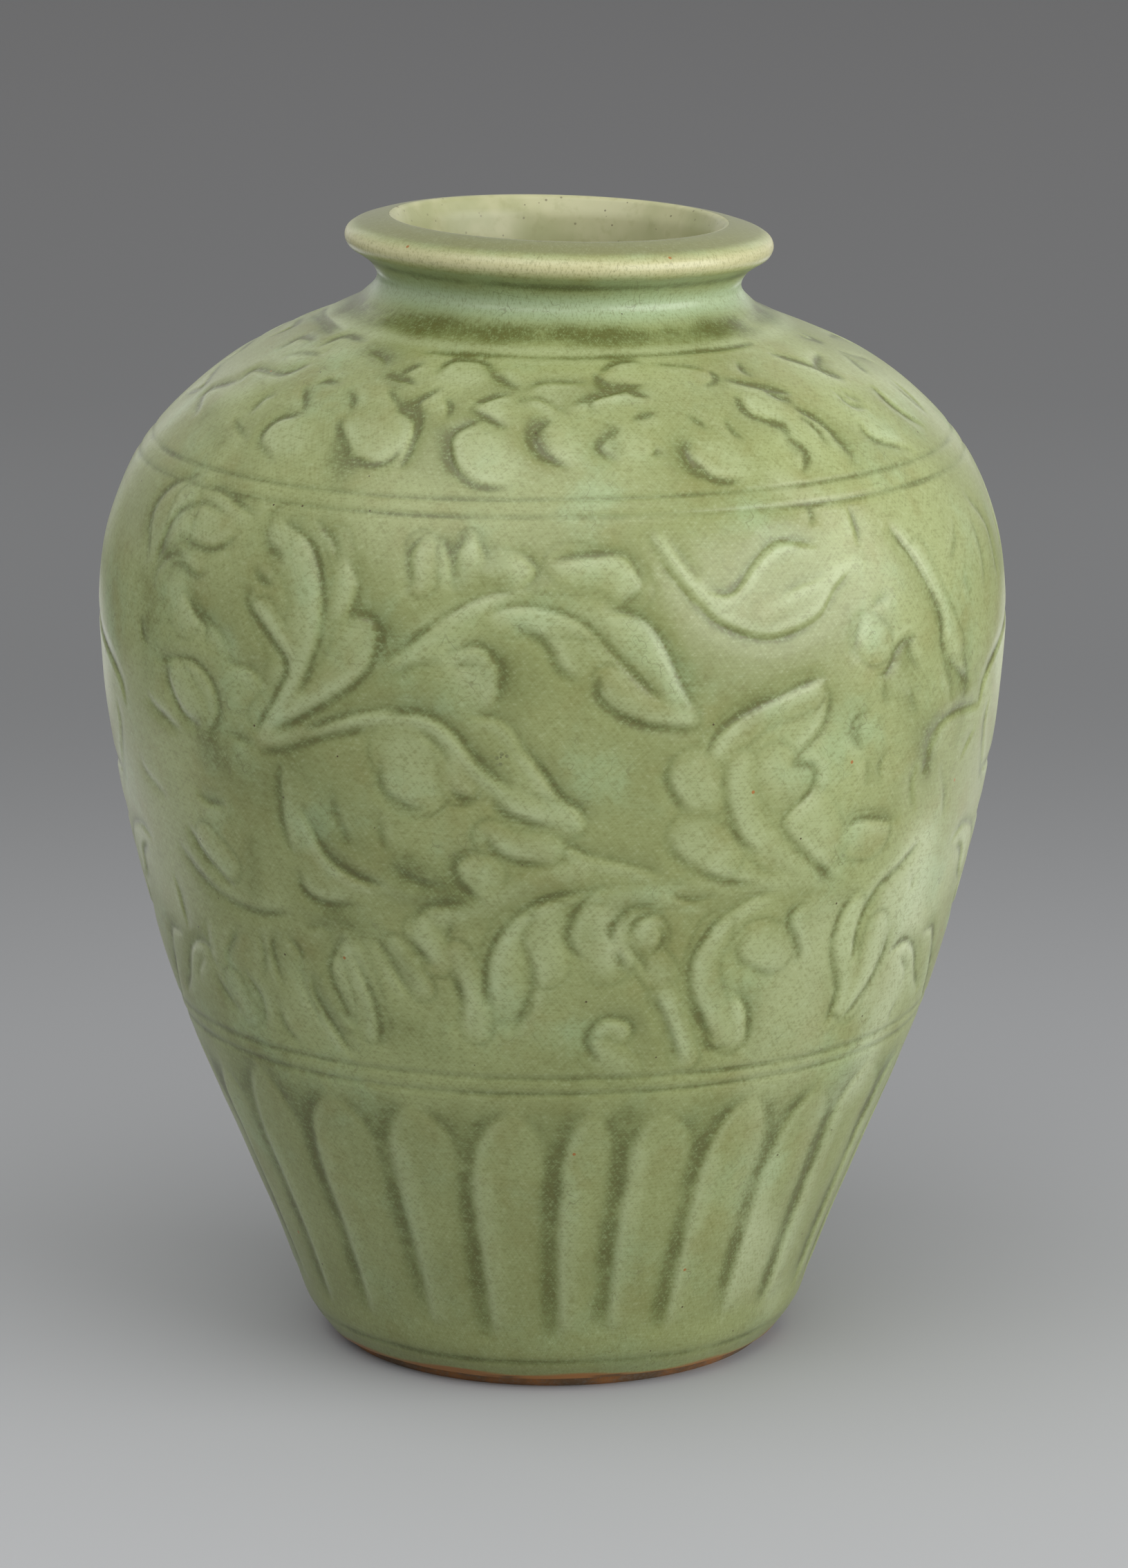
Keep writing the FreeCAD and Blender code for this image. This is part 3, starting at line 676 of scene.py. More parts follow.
def way_at(height):
    # distance along the outline, from the glaze line, at a height
    return np.interp(height, outline_height, outline_way)


def radius_at(way):
    return np.interp(way, outline_way, outline_radius)


def height_at(way):
    return np.interp(way, outline_way, outline_height)


def darker(first, second):
    # two pools of glaze that lie over each other
    return 1 - (1 - first) * (1 - second)


# Carving, drawn on a map of the outside: rows along the outline, columns round the vase
def around(way, angle, taper):
    # the map's cells near a path: their corner, distance, side of the path, and how far from its ends
    radius = radius_at(way)
    lengths = np.hypot(np.diff(way), np.diff(angle) * (radius[1:] + radius[:-1]) / 2)
    travelled = np.concatenate([[0], np.cumsum(lengths)])
    end_taper = max(min(taper, travelled[-1] / 2.5), least_taper)
    low_row = max(int((way.min() - carving_reach) / map_step), 0)
    high_row = min(int((way.max() + carving_reach) / map_step) + 1, map_rows)
    reach_columns = int(carving_reach / radius.min() / column_angle) + 1
    low_column = int(np.floor(angle.min() / column_angle)) - reach_columns
    high_column = int(np.ceil(angle.max() / column_angle)) + reach_columns
    high_column = min(high_column, low_column + map_columns)
    nearest = np.full((high_row - low_row, high_column - low_column), carving_reach)
    side = np.zeros_like(nearest)
    force = np.zeros_like(nearest)
    reach = int(carving_reach / map_step) + 1
    for i, length in enumerate(lengths):
        columns_reach = int(carving_reach / radius[i] / column_angle) + 1
        rows = slice(max(int(min(way[i], way[i + 1]) / map_step) - reach - low_row, 0),
                     max(int(max(way[i], way[i + 1]) / map_step) + reach - low_row, 0))
        first = int(min(angle[i], angle[i + 1]) / column_angle) - columns_reach - low_column
        last = int(max(angle[i], angle[i + 1]) / column_angle) + columns_reach - low_column
        columns = slice(max(first, 0), max(last, 0))
        window = nearest[rows, columns]
        if window.size == 0 or length == 0:
            continue
        up = (np.arange(window.shape[0]) + rows.start + low_row)[:, None] * map_step - way[i]
        round_angle = (np.arange(window.shape[1]) + columns.start + low_column)[None, :] * column_angle
        out = (round_angle - angle[i]) * radius[i]
        step_up = way[i + 1] - way[i]
        step_out = (angle[i + 1] - angle[i]) * radius[i]
        share = np.clip((up * step_up + out * step_out) / length ** 2, 0, 1)
        distance = np.hypot(up - share * step_up, out - share * step_out)
        closer = distance < window
        window[closer] = distance[closer]
        side[rows, columns][closer] = np.sign(step_out * up - step_up * out)[closer]
        along = travelled[i] + share * length
        from_end = np.minimum(along, travelled[-1] - along)
        force[rows, columns][closer] = np.clip(from_end / end_taper, 0, 1)[closer] ** 0.6
    return low_row, low_column, nearest, side, force


def lay(target, low_row, low_column, patch, join):
    # joins a patch to the map, round the whole turn
    rows = slice(low_row, low_row + patch.shape[0])
    columns = (np.arange(patch.shape[1]) + low_column) % map_columns
    target[rows, columns] = join(target[rows, columns], patch)


def lay_patch(target, way, angle, width, strength):
    # a broad soft patch along a path
    low_row, low_column, nearest = around(way, angle, least_taper)[:3]
    soft = strength * np.exp(-(nearest / width) ** 2) * (nearest < carving_reach)
    lay(target, low_row, low_column, soft, darker)


class CarvedMap:
    def __init__(self):
        size = (map_rows, map_columns)
        self.cut = np.zeros(size)
        self.pool = np.zeros(size)
        self.edge = np.zeros(size)
        self.ground = np.zeros(size)
        self.body = np.zeros(size)
        self.rim = np.zeros(size)
        self.worn_and_lit = np.zeros(size)

    def stroke(self, way, angle, raised_left, depth, taper, fade, steep_width, line_width):
        # one knife stroke: steep against the raised side, fading out on the other
        low_row, low_column, nearest, side, force = around(way, angle, taper)
        side = side if raised_left else -side
        toward = nearest * side
        steep = np.clip(1 - toward / steep_width, 0, 1)
        gentle = np.clip(1 + toward / fade, 0, 1)
        cut = np.where(toward > 0, steep ** 2 * (3 - 2 * steep), gentle ** 1.6) * force
        wide = np.clip(1 + toward / (fade * 1.5), 0, 1) ** 2
        line = np.exp(-((toward + 0.4 * line_width) / line_width) ** 2)
        pool = (broad_pool_share * np.where(toward > 0, steep ** 1.5, wide) + pool_line_share * line) * force
        edge = np.exp(-((toward - edge_offset) / edge_half_width) ** 2) * force
        share_of_deep = depth / deep
        fall = np.clip(1 - nearest / carving_reach, 0, 1) ** 1.5
        ground = -side * fall * np.clip(nearest / ground_starts, 0, 1) * force
        lay(self.cut, low_row, low_column, cut * depth, np.maximum)
        lay(self.pool, low_row, low_column, pool * share_of_deep ** 0.6, darker)
        lay(self.edge, low_row, low_column, edge * share_of_deep, np.maximum)
        lay(self.ground, low_row, low_column, ground * share_of_deep, np.add)

    def swell(self, way, angle, half_width, closed_share):
        # the rounded body of a leaf or stem
        low_row, low_column, nearest = around(way, angle, least_taper)[:3]
        within = nearest < carving_reach
        bulge = np.exp(-(nearest / half_width) ** 2) * within
        rim = closed_share * np.exp(-((nearest - 1.5 * half_width) / rim_half_width) ** 2) * within
        lay(self.body, low_row, low_column, bulge, np.maximum)
        lay(self.rim, low_row, low_column, rim, np.maximum)

    def ring(self, height, depth, half_width, wave):
        # a groove round the whole vase
        angles = np.arange(map_columns) * column_angle
        centre = way_at(height) + wave * (np.sin(angles * 2 + height / mm) + 0.6 * np.sin(angles * 5 + 1))
        off = (outline_way[:, None] - centre[None, :]) / half_width
        self.cut = np.maximum(self.cut, depth * np.exp(-off ** 2))
        faint = 0.8 + 0.2 * np.sin(angles * 9 + height / mm) * np.sin(angles * 4)
        self.pool = np.maximum(self.pool, faint * np.exp(-(off / 0.9) ** 2))


def soften(grid, width):
    # a small round blur, as the melted glaze rounds the cuts
    reach = max(int(3 * width / map_step), 1)
    kernel = np.exp(-(np.arange(-reach, reach + 1) * map_step / width) ** 2 / 2)
    kernel /= kernel.sum()
    across = sum(weight * np.roll(grid, shift, axis=1)
                 for weight, shift in zip(kernel, range(-reach, reach + 1)))
    padded = np.pad(across, ((reach, reach), (0, 0)), mode="edge")
    return sum(weight * padded[reach + shift:reach + shift + map_rows]
               for weight, shift in zip(kernel, range(-reach, reach + 1)))


def curve_through(points):
    # an even chain of points on a smooth curve through the given pixels
    points = np.array(points, float)
    ends = np.vstack([2 * points[0] - points[1], points, 2 * points[-1] - points[-2]])
    chain = []
    for before, start, end, after in zip(ends, ends[1:], ends[2:], ends[3:]):
        count = max(int(np.linalg.norm(end - start) / curve_step), 2)
        t = np.linspace(0, 1, count, endpoint=False)[:, None]
        chain.append(0.5 * (2 * start + (end - before) * t
                            + (2 * before - 5 * start + 4 * end - after) * t ** 2
                            + (3 * start - before - 3 * end + after) * t ** 3))
    return np.vstack(chain + [points[-1:]])


def seen_on_vase(pixels):
    # where the photograph's rays meet the outside: distance along the outline, and angle
    sine, cosine = math.sin(camera_pitch), math.cos(camera_pitch)
    right = (pixels[:, 0] - photo_width / 2) / photo_focal_length
    up = (photo_height / 2 - pixels[:, 1]) / photo_focal_length
    ray = np.stack([right, cosine + up * sine, up * cosine - sine], axis=1)
    nearest_way = -camera_place[1] / cosine
    travel = np.linspace(nearest_way - ray_before, nearest_way + ray_behind, ray_steps)
    points = np.array(camera_place) + ray[:, None, :] * travel[None, :, None]
    radius = np.interp(points[..., 2], outline_height, outline_radius)
    gap = np.hypot(points[..., 0], points[..., 1]) - radius
    hit = np.where((gap < 0).any(axis=1), (gap < 0).argmax(axis=1), gap.argmin(axis=1))
    found = points[np.arange(len(points)), hit]
    return way_at(found[:, 2]), np.arctan2(found[:, 0], -found[:, 1])


def raised_on_left(pixels, way_word):
    # whether the raised side lies to the left of the travel, seen from outside
    middle = len(pixels) // 2
    travel = pixels[min(middle + 2, len(pixels) - 1)] - pixels[max(middle - 2, 0)]
    side = picture_ways[way_word]
    return travel[0] * side[1] - travel[1] * side[0] < 0


def strokes_on_vase(form):
    # each stroke of a form: its path on the vase, whether its left is raised, and its depth
    for way_word, depth, points in form:
        pixels = curve_through(points)
        way, angle = seen_on_vase(pixels)
        yield way, angle, raised_on_left(pixels, way_word), depth


def carve_scroll(carved):
    for form in carved_forms:
        for way, angle, raised, depth in strokes_on_vase(form):
            carved.stroke(way, angle, raised, depth, **scroll_cut)
            carved.stroke(way, math.pi - angle * far_side_spread, not raised, depth, **scroll_cut)
    for form, own_angle, widening, drop in side_leaves:
        for way, angle, raised, depth in strokes_on_vase(form):
            aside = side_angle + (angle - own_angle) * widening
            carved.stroke(way - drop, aside, raised, depth, **scroll_cut)
            carved.stroke(way - drop, -aside, not raised, depth, **scroll_cut)
    for form, closed_share in rounded_bodies:
        for half_width, points in form:
            way, angle = seen_on_vase(curve_through(points))
            carved.swell(way, angle, half_width, closed_share)
            far_angle = math.pi - angle * far_side_spread
            carved.swell(way, far_angle, half_width * math.sqrt(far_side_spread), closed_share)


def upright_angles():
    # the seen uprights as read, and the rest spaced evenly with a hand's unevenness
    seen = [math.radians(angle) for angle in seen_uprights]
    rest = petal_count - len(seen)
    gap = (2 * math.pi - (seen[-1] - seen[0])) / (rest + 1)
    more = [seen[-1] + gap * (i + 1 + 0.12 * math.sin(i * 2.4)) for i in range(rest)]
    return seen + more + [seen[0] + 2 * math.pi]


def carve_petals(carved):
    angles = upright_angles()
    turn = np.linspace(0, math.pi / 2, arch_steps)
    for i in range(petal_count):
        left, right = angles[i], angles[i + 1]
        uneven = math.sin(i * 1.9)
        point = (left + right) / 2 + point_sway * math.sin(i * 4.3)
        side_way = way_at(petal_side + side_waver * uneven)
        point_way = way_at(petal_point + point_waver * math.sin(i * 3.1))
        upright = np.linspace(way_at(petal_foot + foot_waver * uneven), side_way, upright_steps)
        sway = upright_sway * np.sin(np.linspace(0, 3, upright_steps) + i)
        top_way = side_way + (point_way - side_way) * np.sin(turn)
        left_side = left + sway[-1] + (point - left) * (1 - np.cos(turn))
        right_side = right - (right - point) * (1 - np.cos(turn))
        whole_way = np.append(upright, top_way[1:])
        carved.stroke(whole_way, np.append(left + sway, left_side[1:]), False, **petal_cut)
        carved.stroke(top_way, right_side, True, **petal_arch)
        ridge = np.linspace(way_at(petal_foot + ridge_foot), side_way + ridge_top, upright_steps)
        carved.swell(ridge, left + ridge_offset + sway, ridge_half_width, 0)
        crown = np.linspace(point_way - crown_reach, point_way, 4)
        between = np.full(4, left + crown_sway * uneven)
        lay_patch(carved.pool, crown, between, crown_reach, crown_strength + crown_unevenness * uneven)


def carve_rings(carved):
    for height in shoulder_ring_heights + lower_ring_heights:
        carved.ring(height, ring_depth, ring_half_width, ring_wave)
    carved.ring(foot_ring_height, foot_ring_depth, foot_ring_half_width, foot_ring_wave)


def lay_patches(carved):
    for patches, target in ((smoky_patches, carved.pool), (thin_and_lit_patches, carved.worn_and_lit)):
        for width, strength, points in patches:
            way, angle = seen_on_vase(curve_through(points))
            lay_patch(target, way, angle, width, strength)


def carved_outside():
    carved = CarvedMap()
    carve_scroll(carved)
    carve_petals(carved)
    carve_rings(carved)
    lay_patches(carved)
    carved.cut = soften(carved.cut, cut_blur)
    carved.pool = soften(carved.pool, pool_blur)
    carved.edge = soften(carved.edge, edge_blur)
    carved.ground = soften(carved.ground, ground_blur)
    rim = carved.rim * (1 - carved.body) ** 2
    carved.pool = np.maximum(carved.pool, rim)
    carved.cut += rim_depth * rim - body_swell * carved.body
    return carved


carved = carved_outside()
pitted_way, pitted_angle = (found[0] for found in seen_on_vase(np.array([pitted_pixel], float)))


def on_map(grid, way, angle):
    # the map's value between its rows and columns
    row = np.clip(way / map_step, 0, map_rows - 1.001)
    column = (angle / column_angle) % map_columns
    low_row, low_column = row.astype(int), column.astype(int)
    up, out = row - low_row, column - low_column
    next_column = (low_column + 1) % map_columns
    low_column = low_column % map_columns
    lower = grid[low_row, low_column] * (1 - out) + grid[low_row, next_column] * out
    upper = grid[low_row + 1, low_column] * (1 - out) + grid[low_row + 1, next_column] * out
    return lower * (1 - up) + upper * up


def ring_of(tone, height):
    # a soft ring of a tone round the vase
    middle, half_width, strength = tone
    return strength * np.exp(-((height - middle) / half_width) ** 2)


def rising(tone, height):
    # a tone that comes full past a height, or below it where its reach is negative
    start, reach = tone
    return np.clip((height - start) / reach, 0, 1)


# The leaning neck
def leaned(points):
    share = np.clip((points[:, 2] - lean_from) / (lean_full - lean_from), 0, 1)
    share = share * share * (3 - 2 * share)
    moved = points.copy()
    moved[:, 0] += neck_offset * share
    moved[:, 2] -= neck_dip * points[:, 0] * share
    return moved


def hand_unevenness(angle, way):
    # broad shallow waves that throwing and carving leave, well under the depth of the cuts
    along = way / mm
    broad = np.sin(angle * 7 + along / 9) * np.sin(along / 14 + 1.3)
    narrow = np.sin(angle * 19 - along / 6) * np.sin(angle * 3 + along / 11)
    return throwing_waves * (broad + 0.7 * narrow)


def skin_points(way, angle):
    # places of the glazed outside, with its carving and its lean
    slope_r = radius_at(way + map_step) - radius_at(way - map_step)
    slope_z = height_at(way + map_step) - height_at(way - map_step)
    length = np.hypot(slope_r, slope_z)
    waves = hand_unevenness(angle, way) * rising(waves_below, height_at(way))
    depth = on_map(carved.cut, way, angle) + waves
    radius = radius_at(way) - depth * slope_z / length
    height = height_at(way) + depth * slope_r / length
    flat = np.stack([radius * np.sin(angle), -radius * np.cos(angle), height], axis=1)
    return leaned(flat)


def add_piece(name, data):
    piece = bpy.data.objects.new(name, data)
    bpy.context.scene.collection.objects.link(piece)
    return piece


def mesh_from(mesh_maker, name):
    mesh = bpy.data.meshes.new(name)
    mesh_maker.to_mesh(mesh)
    mesh_maker.free()
    return mesh


def rolled_grid(name, rows, turns):
    # a flat grid with one column for each step round the vase, welded where its two ends meet
    mesh_maker = bmesh.new()
    bmesh.ops.create_grid(mesh_maker, x_segments=turns, y_segments=rows, size=1)
    ends = {-1: {}, 1: {}}
    for vert in mesh_maker.verts:
        side = round(vert.co.x, 5)
        if abs(side) == 1:
            ends[int(side)][round(vert.co.y, 5)] = vert
    bmesh.ops.weld_verts(mesh_maker, targetmap={ends[1][up]: ends[-1][up] for up in ends[1]})
    return mesh_from(mesh_maker, name)


def places_of(mesh):
    places = np.empty(len(mesh.vertices) * 3, np.float32)
    mesh.vertices.foreach_get("co", places)
    return places.reshape(-1, 3).astype(float)


def place_vertices(mesh, places):
    mesh.vertices.foreach_set("co", places.astype(np.float32).ravel())
    mesh.update()
    mesh.shade_smooth()


def skin_band(name, low_height, high_height, spacing):
    # one band of the glazed outside: a grid rolled round the axis, then carved
    low_way, high_way = way_at(low_height), way_at(high_height)
    rows = max(int((high_way - low_way) / spacing), 2)
    widest = radius_at(np.linspace(low_way, high_way, rows + 1)).max()
    mesh = rolled_grid(name, rows, int(2 * math.pi * widest / spacing))
    grid = places_of(mesh)
    angle = math.pi * grid[:, 0]
    way = (low_way + high_way) / 2 + (high_way - low_way) / 2 * grid[:, 1]
    turn = map_step / widest
    round_way = skin_points(way, angle + turn) - skin_points(way, angle - turn)
    up_way = (skin_points(np.minimum(way + map_step, outline_way[-1]), angle)
              - skin_points(np.maximum(way - map_step, 0), angle))
    normals = np.cross(round_way, up_way)
    normals /= np.linalg.norm(normals, axis=1)[:, None]
    place_vertices(mesh, skin_points(way, angle))
    mesh.normals_split_custom_set_from_vertices(normals.astype(np.float32))
    unroll(mesh, angle, way)
    for attribute, values in skin_tones(way, angle).items():
        layer = mesh.attributes.new(attribute, "FLOAT", "POINT")
        layer.data.foreach_set("value", np.clip(values, 0, 1).astype(np.float32))
    return add_piece(name, mesh)


def unroll(mesh, angle, way):
    # a flat plan of the skin, in metres, for the brushed grain of the glaze
    corners = np.empty(len(mesh.loops), np.int32)
    mesh.loops.foreach_get("vertex_index", corners)
    around = angle[corners].reshape(-1, 4)
    around -= 2 * math.pi * np.round((around - around[:, :1]) / (2 * math.pi))
    plan = np.stack([around.ravel() * outline_radius.mean(), way[corners]], axis=1)
    mesh.uv_layers.new(name="skin_plan").data.foreach_set("uv", plan.astype(np.float32).ravel())


def skin_tones(way, angle):
    # how thick the glaze lies (pool), how thin (edge), and the tones that go with the height
    height = height_at(way)
    pool = on_map(carved.pool, way, angle)
    edge = on_map(carved.edge, way, angle) * (1 - pool_hides_edge * pool)
    ground = on_map(carved.ground, way, angle)
    # the glaze lies thickest on the level shoulder and at the root of the neck; the dark ring under the lip
    # is painted shadow
    pool = pool * (1 + shoulder_thickening * rising(thick_shoulder, height))
    rounded = on_map(carved.body, way, angle) * (1 - pool_hides_body * np.minimum(pool, 1))
    bare_edge = (bare_edge_height + bare_edge_waves[0] * np.sin(angle * 3 + 2.2)
                 + bare_edge_waves[1] * np.sin(angle * 11))
    from_pit = np.hypot(way - pitted_way, (angle - pitted_angle) * belly_radius)
    return {
        # the pool also carries the painted shadow under the lip
        "pool": np.maximum(pool, np.maximum(ring_of(root_pool, height), ring_of(under_lip_painted_shadow, height))),
        "edge": np.maximum(edge, ring_of(collar_edge, height)),
        "ground": ground,
        "pitted": np.exp(-from_pit / pitted_size),
        "raised": np.maximum(-ground_sinks * ground, rounded),
        "worn_and_lit": on_map(carved.worn_and_lit, way, angle),
        "lip": ring_of(buff_lip, height),
        "lip_top": rising(olive_lip_top, height),
        "neck": ring_of(pale_neck, height),
        # painted shade that comes full towards the foot
        "runs": rising(foot_runs, height),
        "foot_line": np.clip((outline_height[0] + bare_edge - height) / bare_edge_fade, 0, 1),
    }


# Materials
def colour(hex_code):
    # linear red, green, blue and alpha from an sRGB code
    parts = [int(hex_code[i:i + 2], 16) / 255 for i in (1, 3, 5)]
    return tuple(p / 12.92 if p <= 0.04045 else ((p + 0.055) / 1.055) ** 2.4 for p in parts) + (1,)


def add_node(material, kind, inputs, **settings):
    # one node with its settings; an input takes a value or another node's output
    tree = material.node_tree
    node = tree.nodes.new(kind)
    for name, value in settings.items():
        setattr(node, name, value)
    for name, value in inputs.items():
        if isinstance(value, bpy.types.NodeSocket):
            tree.links.new(value, node.inputs[name])
        else:
            node.inputs[name].default_value = value
    return node


def new_material(name):
    material = bpy.data.materials.new(name)
    material.use_nodes = True
    material.node_tree.nodes.clear()
    return material


def tinted(material, tone, tint, pattern, low=0, high=1, most=1):
    # a tint laid over a tone where a pattern rises from low to high
    amount = add_node(material, "ShaderNodeMapRange",
                      {"Value": pattern, "From Min": low, "From Max": high, "To Max": most},
                      interpolation_type="SMOOTHSTEP")
    laid = add_node(material, "ShaderNodeMix",
                    {0: amount.outputs[0], 6: tone, 7: colour(tint)}, data_type="RGBA")
    return laid.outputs[2]


def specked(material, tone, tint, place, spacing, size, share, where=1):
    # small dots: cells of this spacing, of which a share holds a dot of this size
    cells = add_node(material, "ShaderNodeTexVoronoi", {"Vector": place, "Scale": 1 / spacing})
    near = add_node(material, "ShaderNodeMath",
                    {0: cells.outputs["Distance"], 1: 0.6 * size / spacing}, operation="LESS_THAN")
    pick = add_node(material, "ShaderNodeSeparateColor", {"Color": cells.outputs["Color"]})
    chosen = add_node(material, "ShaderNodeMath", {0: pick.outputs[0], 1: share}, operation="LESS_THAN")
    dot = add_node(material, "ShaderNodeMath",
                   {0: near.outputs[0], 1: chosen.outputs[0]}, operation="MULTIPLY")
    dots = add_node(material, "ShaderNodeMath", {0: dot.outputs[0], 1: where}, operation="MULTIPLY")
    return tinted(material, tone, tint, dots.outputs[0])


def mottled(material, place):
    # uneven patches in the glaze, from broad to fine
    mottle = {}
    for name, size, detail in mottle_sizes:
        noise = add_node(material, "ShaderNodeTexNoise",
                         {"Vector": place, "W": size / mm, "Scale": 1 / (2 * size), "Detail": detail,
                          "Roughness": 0.6}, noise_dimensions="4D")
        mottle[name] = noise.outputs["Fac"]
    return mottle


def brushed_grain(material):
    # the crossing hairs, drawn coarser than they are so that they show
    plan = add_node(material, "ShaderNodeUVMap", {}, uv_map="skin_plan").outputs["UV"]
    hairs = []
    for turn in hair_turns:
        brushed = add_node(material, "ShaderNodeMapping",
                           {"Vector": plan, "Rotation": (0, 0, turn), "Scale": (1, hair_stretch, 1)},
                           vector_type="TEXTURE")
        noise = add_node(material, "ShaderNodeTexNoise",
                         {"Vector": brushed.outputs[0], "Scale": 1 / hair_width, "Detail": 3,
                          "Roughness": 0.7}, noise_dimensions="2D")
        hairs.append(noise.outputs["Fac"])
    crossed = add_node(material, "ShaderNodeMath", {0: hairs[0], 1: hairs[1]}, operation="ADD")
    grain = add_node(material, "ShaderNodeMath", {0: crossed.outputs[0], 1: hairs[2]}, operation="ADD")
    return grain.outputs[0]


def celadon_glaze():
    # Celadon: a glossy iron glaze, fired in a smoky kiln, over grey stoneware. It is a soft olive
    # green, dark where it pools in the carving and pale where it lies thin over the edges. Its colour
    # also holds painted shade towards the foot and under the lip, and painted light over the lower right.
    material = new_material("celadon_glaze_over_carving")
    place = add_node(material, "ShaderNodeTexCoord", {}).outputs["Object"]
    skin = {}
    for name in ("pool", "edge", "ground", "raised", "worn_and_lit", "lip", "lip_top", "neck", "runs", "foot_line",
                 "pitted"):
        skin[name] = add_node(material, "ShaderNodeAttribute", {}, attribute_name=name).outputs["Fac"]
    mottle = mottled(material, place)
    grain = brushed_grain(material)
    # the pools are uneven, and smoke stains gather in them along the hairs
    thick = add_node(material, "ShaderNodeMath",
                     {0: mottle["cloud"], 1: 3, 2: -0.5}, operation="MULTIPLY_ADD")
    pool = add_node(material, "ShaderNodeMath", {0: skin["pool"], 1: thick.outputs[0]},
                    operation="MULTIPLY", use_clamp=True).outputs[0]
    smoky = add_node(material, "ShaderNodeMath", {0: grain, 1: -0.9}, operation="ADD")
    stain = add_node(material, "ShaderNodeMath", {0: pool, 1: smoky.outputs[0]}, operation="MULTIPLY")
    # thin wandering lines on the skin: where one drifting pattern crosses its middle
    beside = add_node(material, "ShaderNodeMath",
                      {0: mottle["drift"], 1: 0.5, 2: 0.004}, operation="COMPARE")
    scratch = add_node(material, "ShaderNodeMath",
                       {0: beside.outputs[0], 1: mottle["cool"]}, operation="MULTIPLY")
    burnt = add_node(material, "ShaderNodeMath",
                     {0: skin["foot_line"], 1: mottle["cool"]}, operation="MULTIPLY")
    # each tint, where it goes, where that begins and is full, and how strong the tint gets
    tints = [
        ("#959e69", mottle["broad"], 0.36, 0.64, 1),
        ("#a6b184", skin["raised"], 0, 1, 0.42),
        ("#7b824f", skin["ground"], 0, 1, 0.55),
        ("#97ad82", mottle["cool"], 0.5, 0.7, 0.45),
        ("#807d43", mottle["cloud"], 0.48, 0.72, 0.5),
        # painted shade: the glaze darker towards the foot
        ("#798050", skin["runs"], 0, 1, 0.5),
        ("#b4c097", skin["edge"], 0, 1, 0.32),
        # pale where the glaze is thin, and painted light over the lower right
        ("#b6bf99", skin["worn_and_lit"], 0, 1, 0.6),
        ("#a6b992", skin["neck"], 0, 1, 0.85),
        ("#c2bd92", skin["lip"], 0, 1, 0.85),
        ("#76774a", skin["lip_top"], 0, 1, 0.85),
        # dark glaze pooled in the carving and round the neck's root, with the painted shadow under the lip
        ("#606d39", pool, 0, 1, 0.78),
        ("#4f4a22", stain.outputs[0], 0.2, 0.8, 0.7),
        ("#6a6c36", grain, 1.45, 1.85, 0.42),
        ("#c0caa2", grain, 1.4, 1.1, 0.16),
        ("#5e5a34", scratch.outputs[0], 0.5, 0.62, 0.35),
        ("#94602f", skin["foot_line"], 0, 1, 0.92),
        ("#4a3a22", burnt.outputs[0], 0.45, 0.6, 0.8),
    ]
    tone = colour("#878f5b")
    for tint, pattern, low, high, most in tints:
        tone = tinted(material, tone, tint, pattern, low, high, most)
    tone = specked(material, tone, "#4c4022", place, 8 * mm, 0.5 * mm, 0.5)
    tone = specked(material, tone, "#9a6a35", place, 15 * mm, 0.8 * mm, 0.5)
    tone = specked(material, tone, "#3a3424", place, 1.2 * mm, 0.9 * mm, 0.6, skin["pitted"])
    bump = add_node(material, "ShaderNodeBump",
                    {"Height": mottle["fine"], "Strength": 0.3, "Distance": 0.2 * mm})
    shader = add_node(material, "ShaderNodeBsdfPrincipled",
                      {"Base Color": tone, "Normal": bump.outputs[0], "Roughness": 0.31, "IOR": 1.5})
    add_node(material, "ShaderNodeOutputMaterial", {"Surface": shader.outputs[0]})
    return material


def inner_celadon():
    # The same glaze poured inside, thinner and buffer, with iron specks from the clay
    material = new_material("celadon_glaze_inside")
    place = add_node(material, "ShaderNodeTexCoord", {}).outputs["Object"]
    broad = add_node(material, "ShaderNodeTexNoise", {"Vector": place, "Scale": 1 / (20 * mm), "Detail": 3})
    fine = add_node(material, "ShaderNodeTexNoise", {"Vector": place, "Scale": 1 / (3 * mm), "Detail": 3})
    tone = tinted(material, colour("#9d9f74"), "#b1b088", broad.outputs[0], 0.4, 0.62)
    tone = tinted(material, tone, "#8a8a5c", fine.outputs[0], 0.5, 0.75, 0.3)
    tone = specked(material, tone, "#5a4a2c", place, 7 * mm, 0.9 * mm, 0.5)
    tone = specked(material, tone, "#4a3f26", place, 2 * mm, 0.55 * mm, 0.3, broad.outputs[0])
    shader = add_node(material, "ShaderNodeBsdfPrincipled",
                      {"Base Color": tone, "Roughness": 0.35, "IOR": 1.5})
    add_node(material, "ShaderNodeOutputMaterial", {"Surface": shader.outputs[0]})
    return material


def fired_stoneware():
    # Iron-bearing grey stoneware: it burns brown to orange where the glaze leaves it bare
    material = new_material("fired_stoneware")
    place = add_node(material, "ShaderNodeTexCoord", {}).outputs["Object"]
    broad = add_node(material, "ShaderNodeTexNoise", {"Vector": place, "Scale": 1 / (12 * mm), "Detail": 3})
    grit = add_node(material, "ShaderNodeTexNoise", {"Vector": place, "Scale": 1 / (1 * mm), "Detail": 2})
    tone = tinted(material, colour("#5f4a32"), "#8e5e30", broad.outputs[0], 0.35, 0.65)
    tone = tinted(material, tone, "#6e675a", grit.outputs[0], 0.45, 0.7, 0.5)
    bump = add_node(material, "ShaderNodeBump",
                    {"Height": grit.outputs[0], "Strength": 0.4, "Distance": 0.3 * mm})
    shader = add_node(material, "ShaderNodeBsdfPrincipled",
                      {"Base Color": tone, "Normal": bump.outputs[0], "Roughness": 0.8, "IOR": 1.5})
    add_node(material, "ShaderNodeOutputMaterial", {"Surface": shader.outputs[0]})
    return material


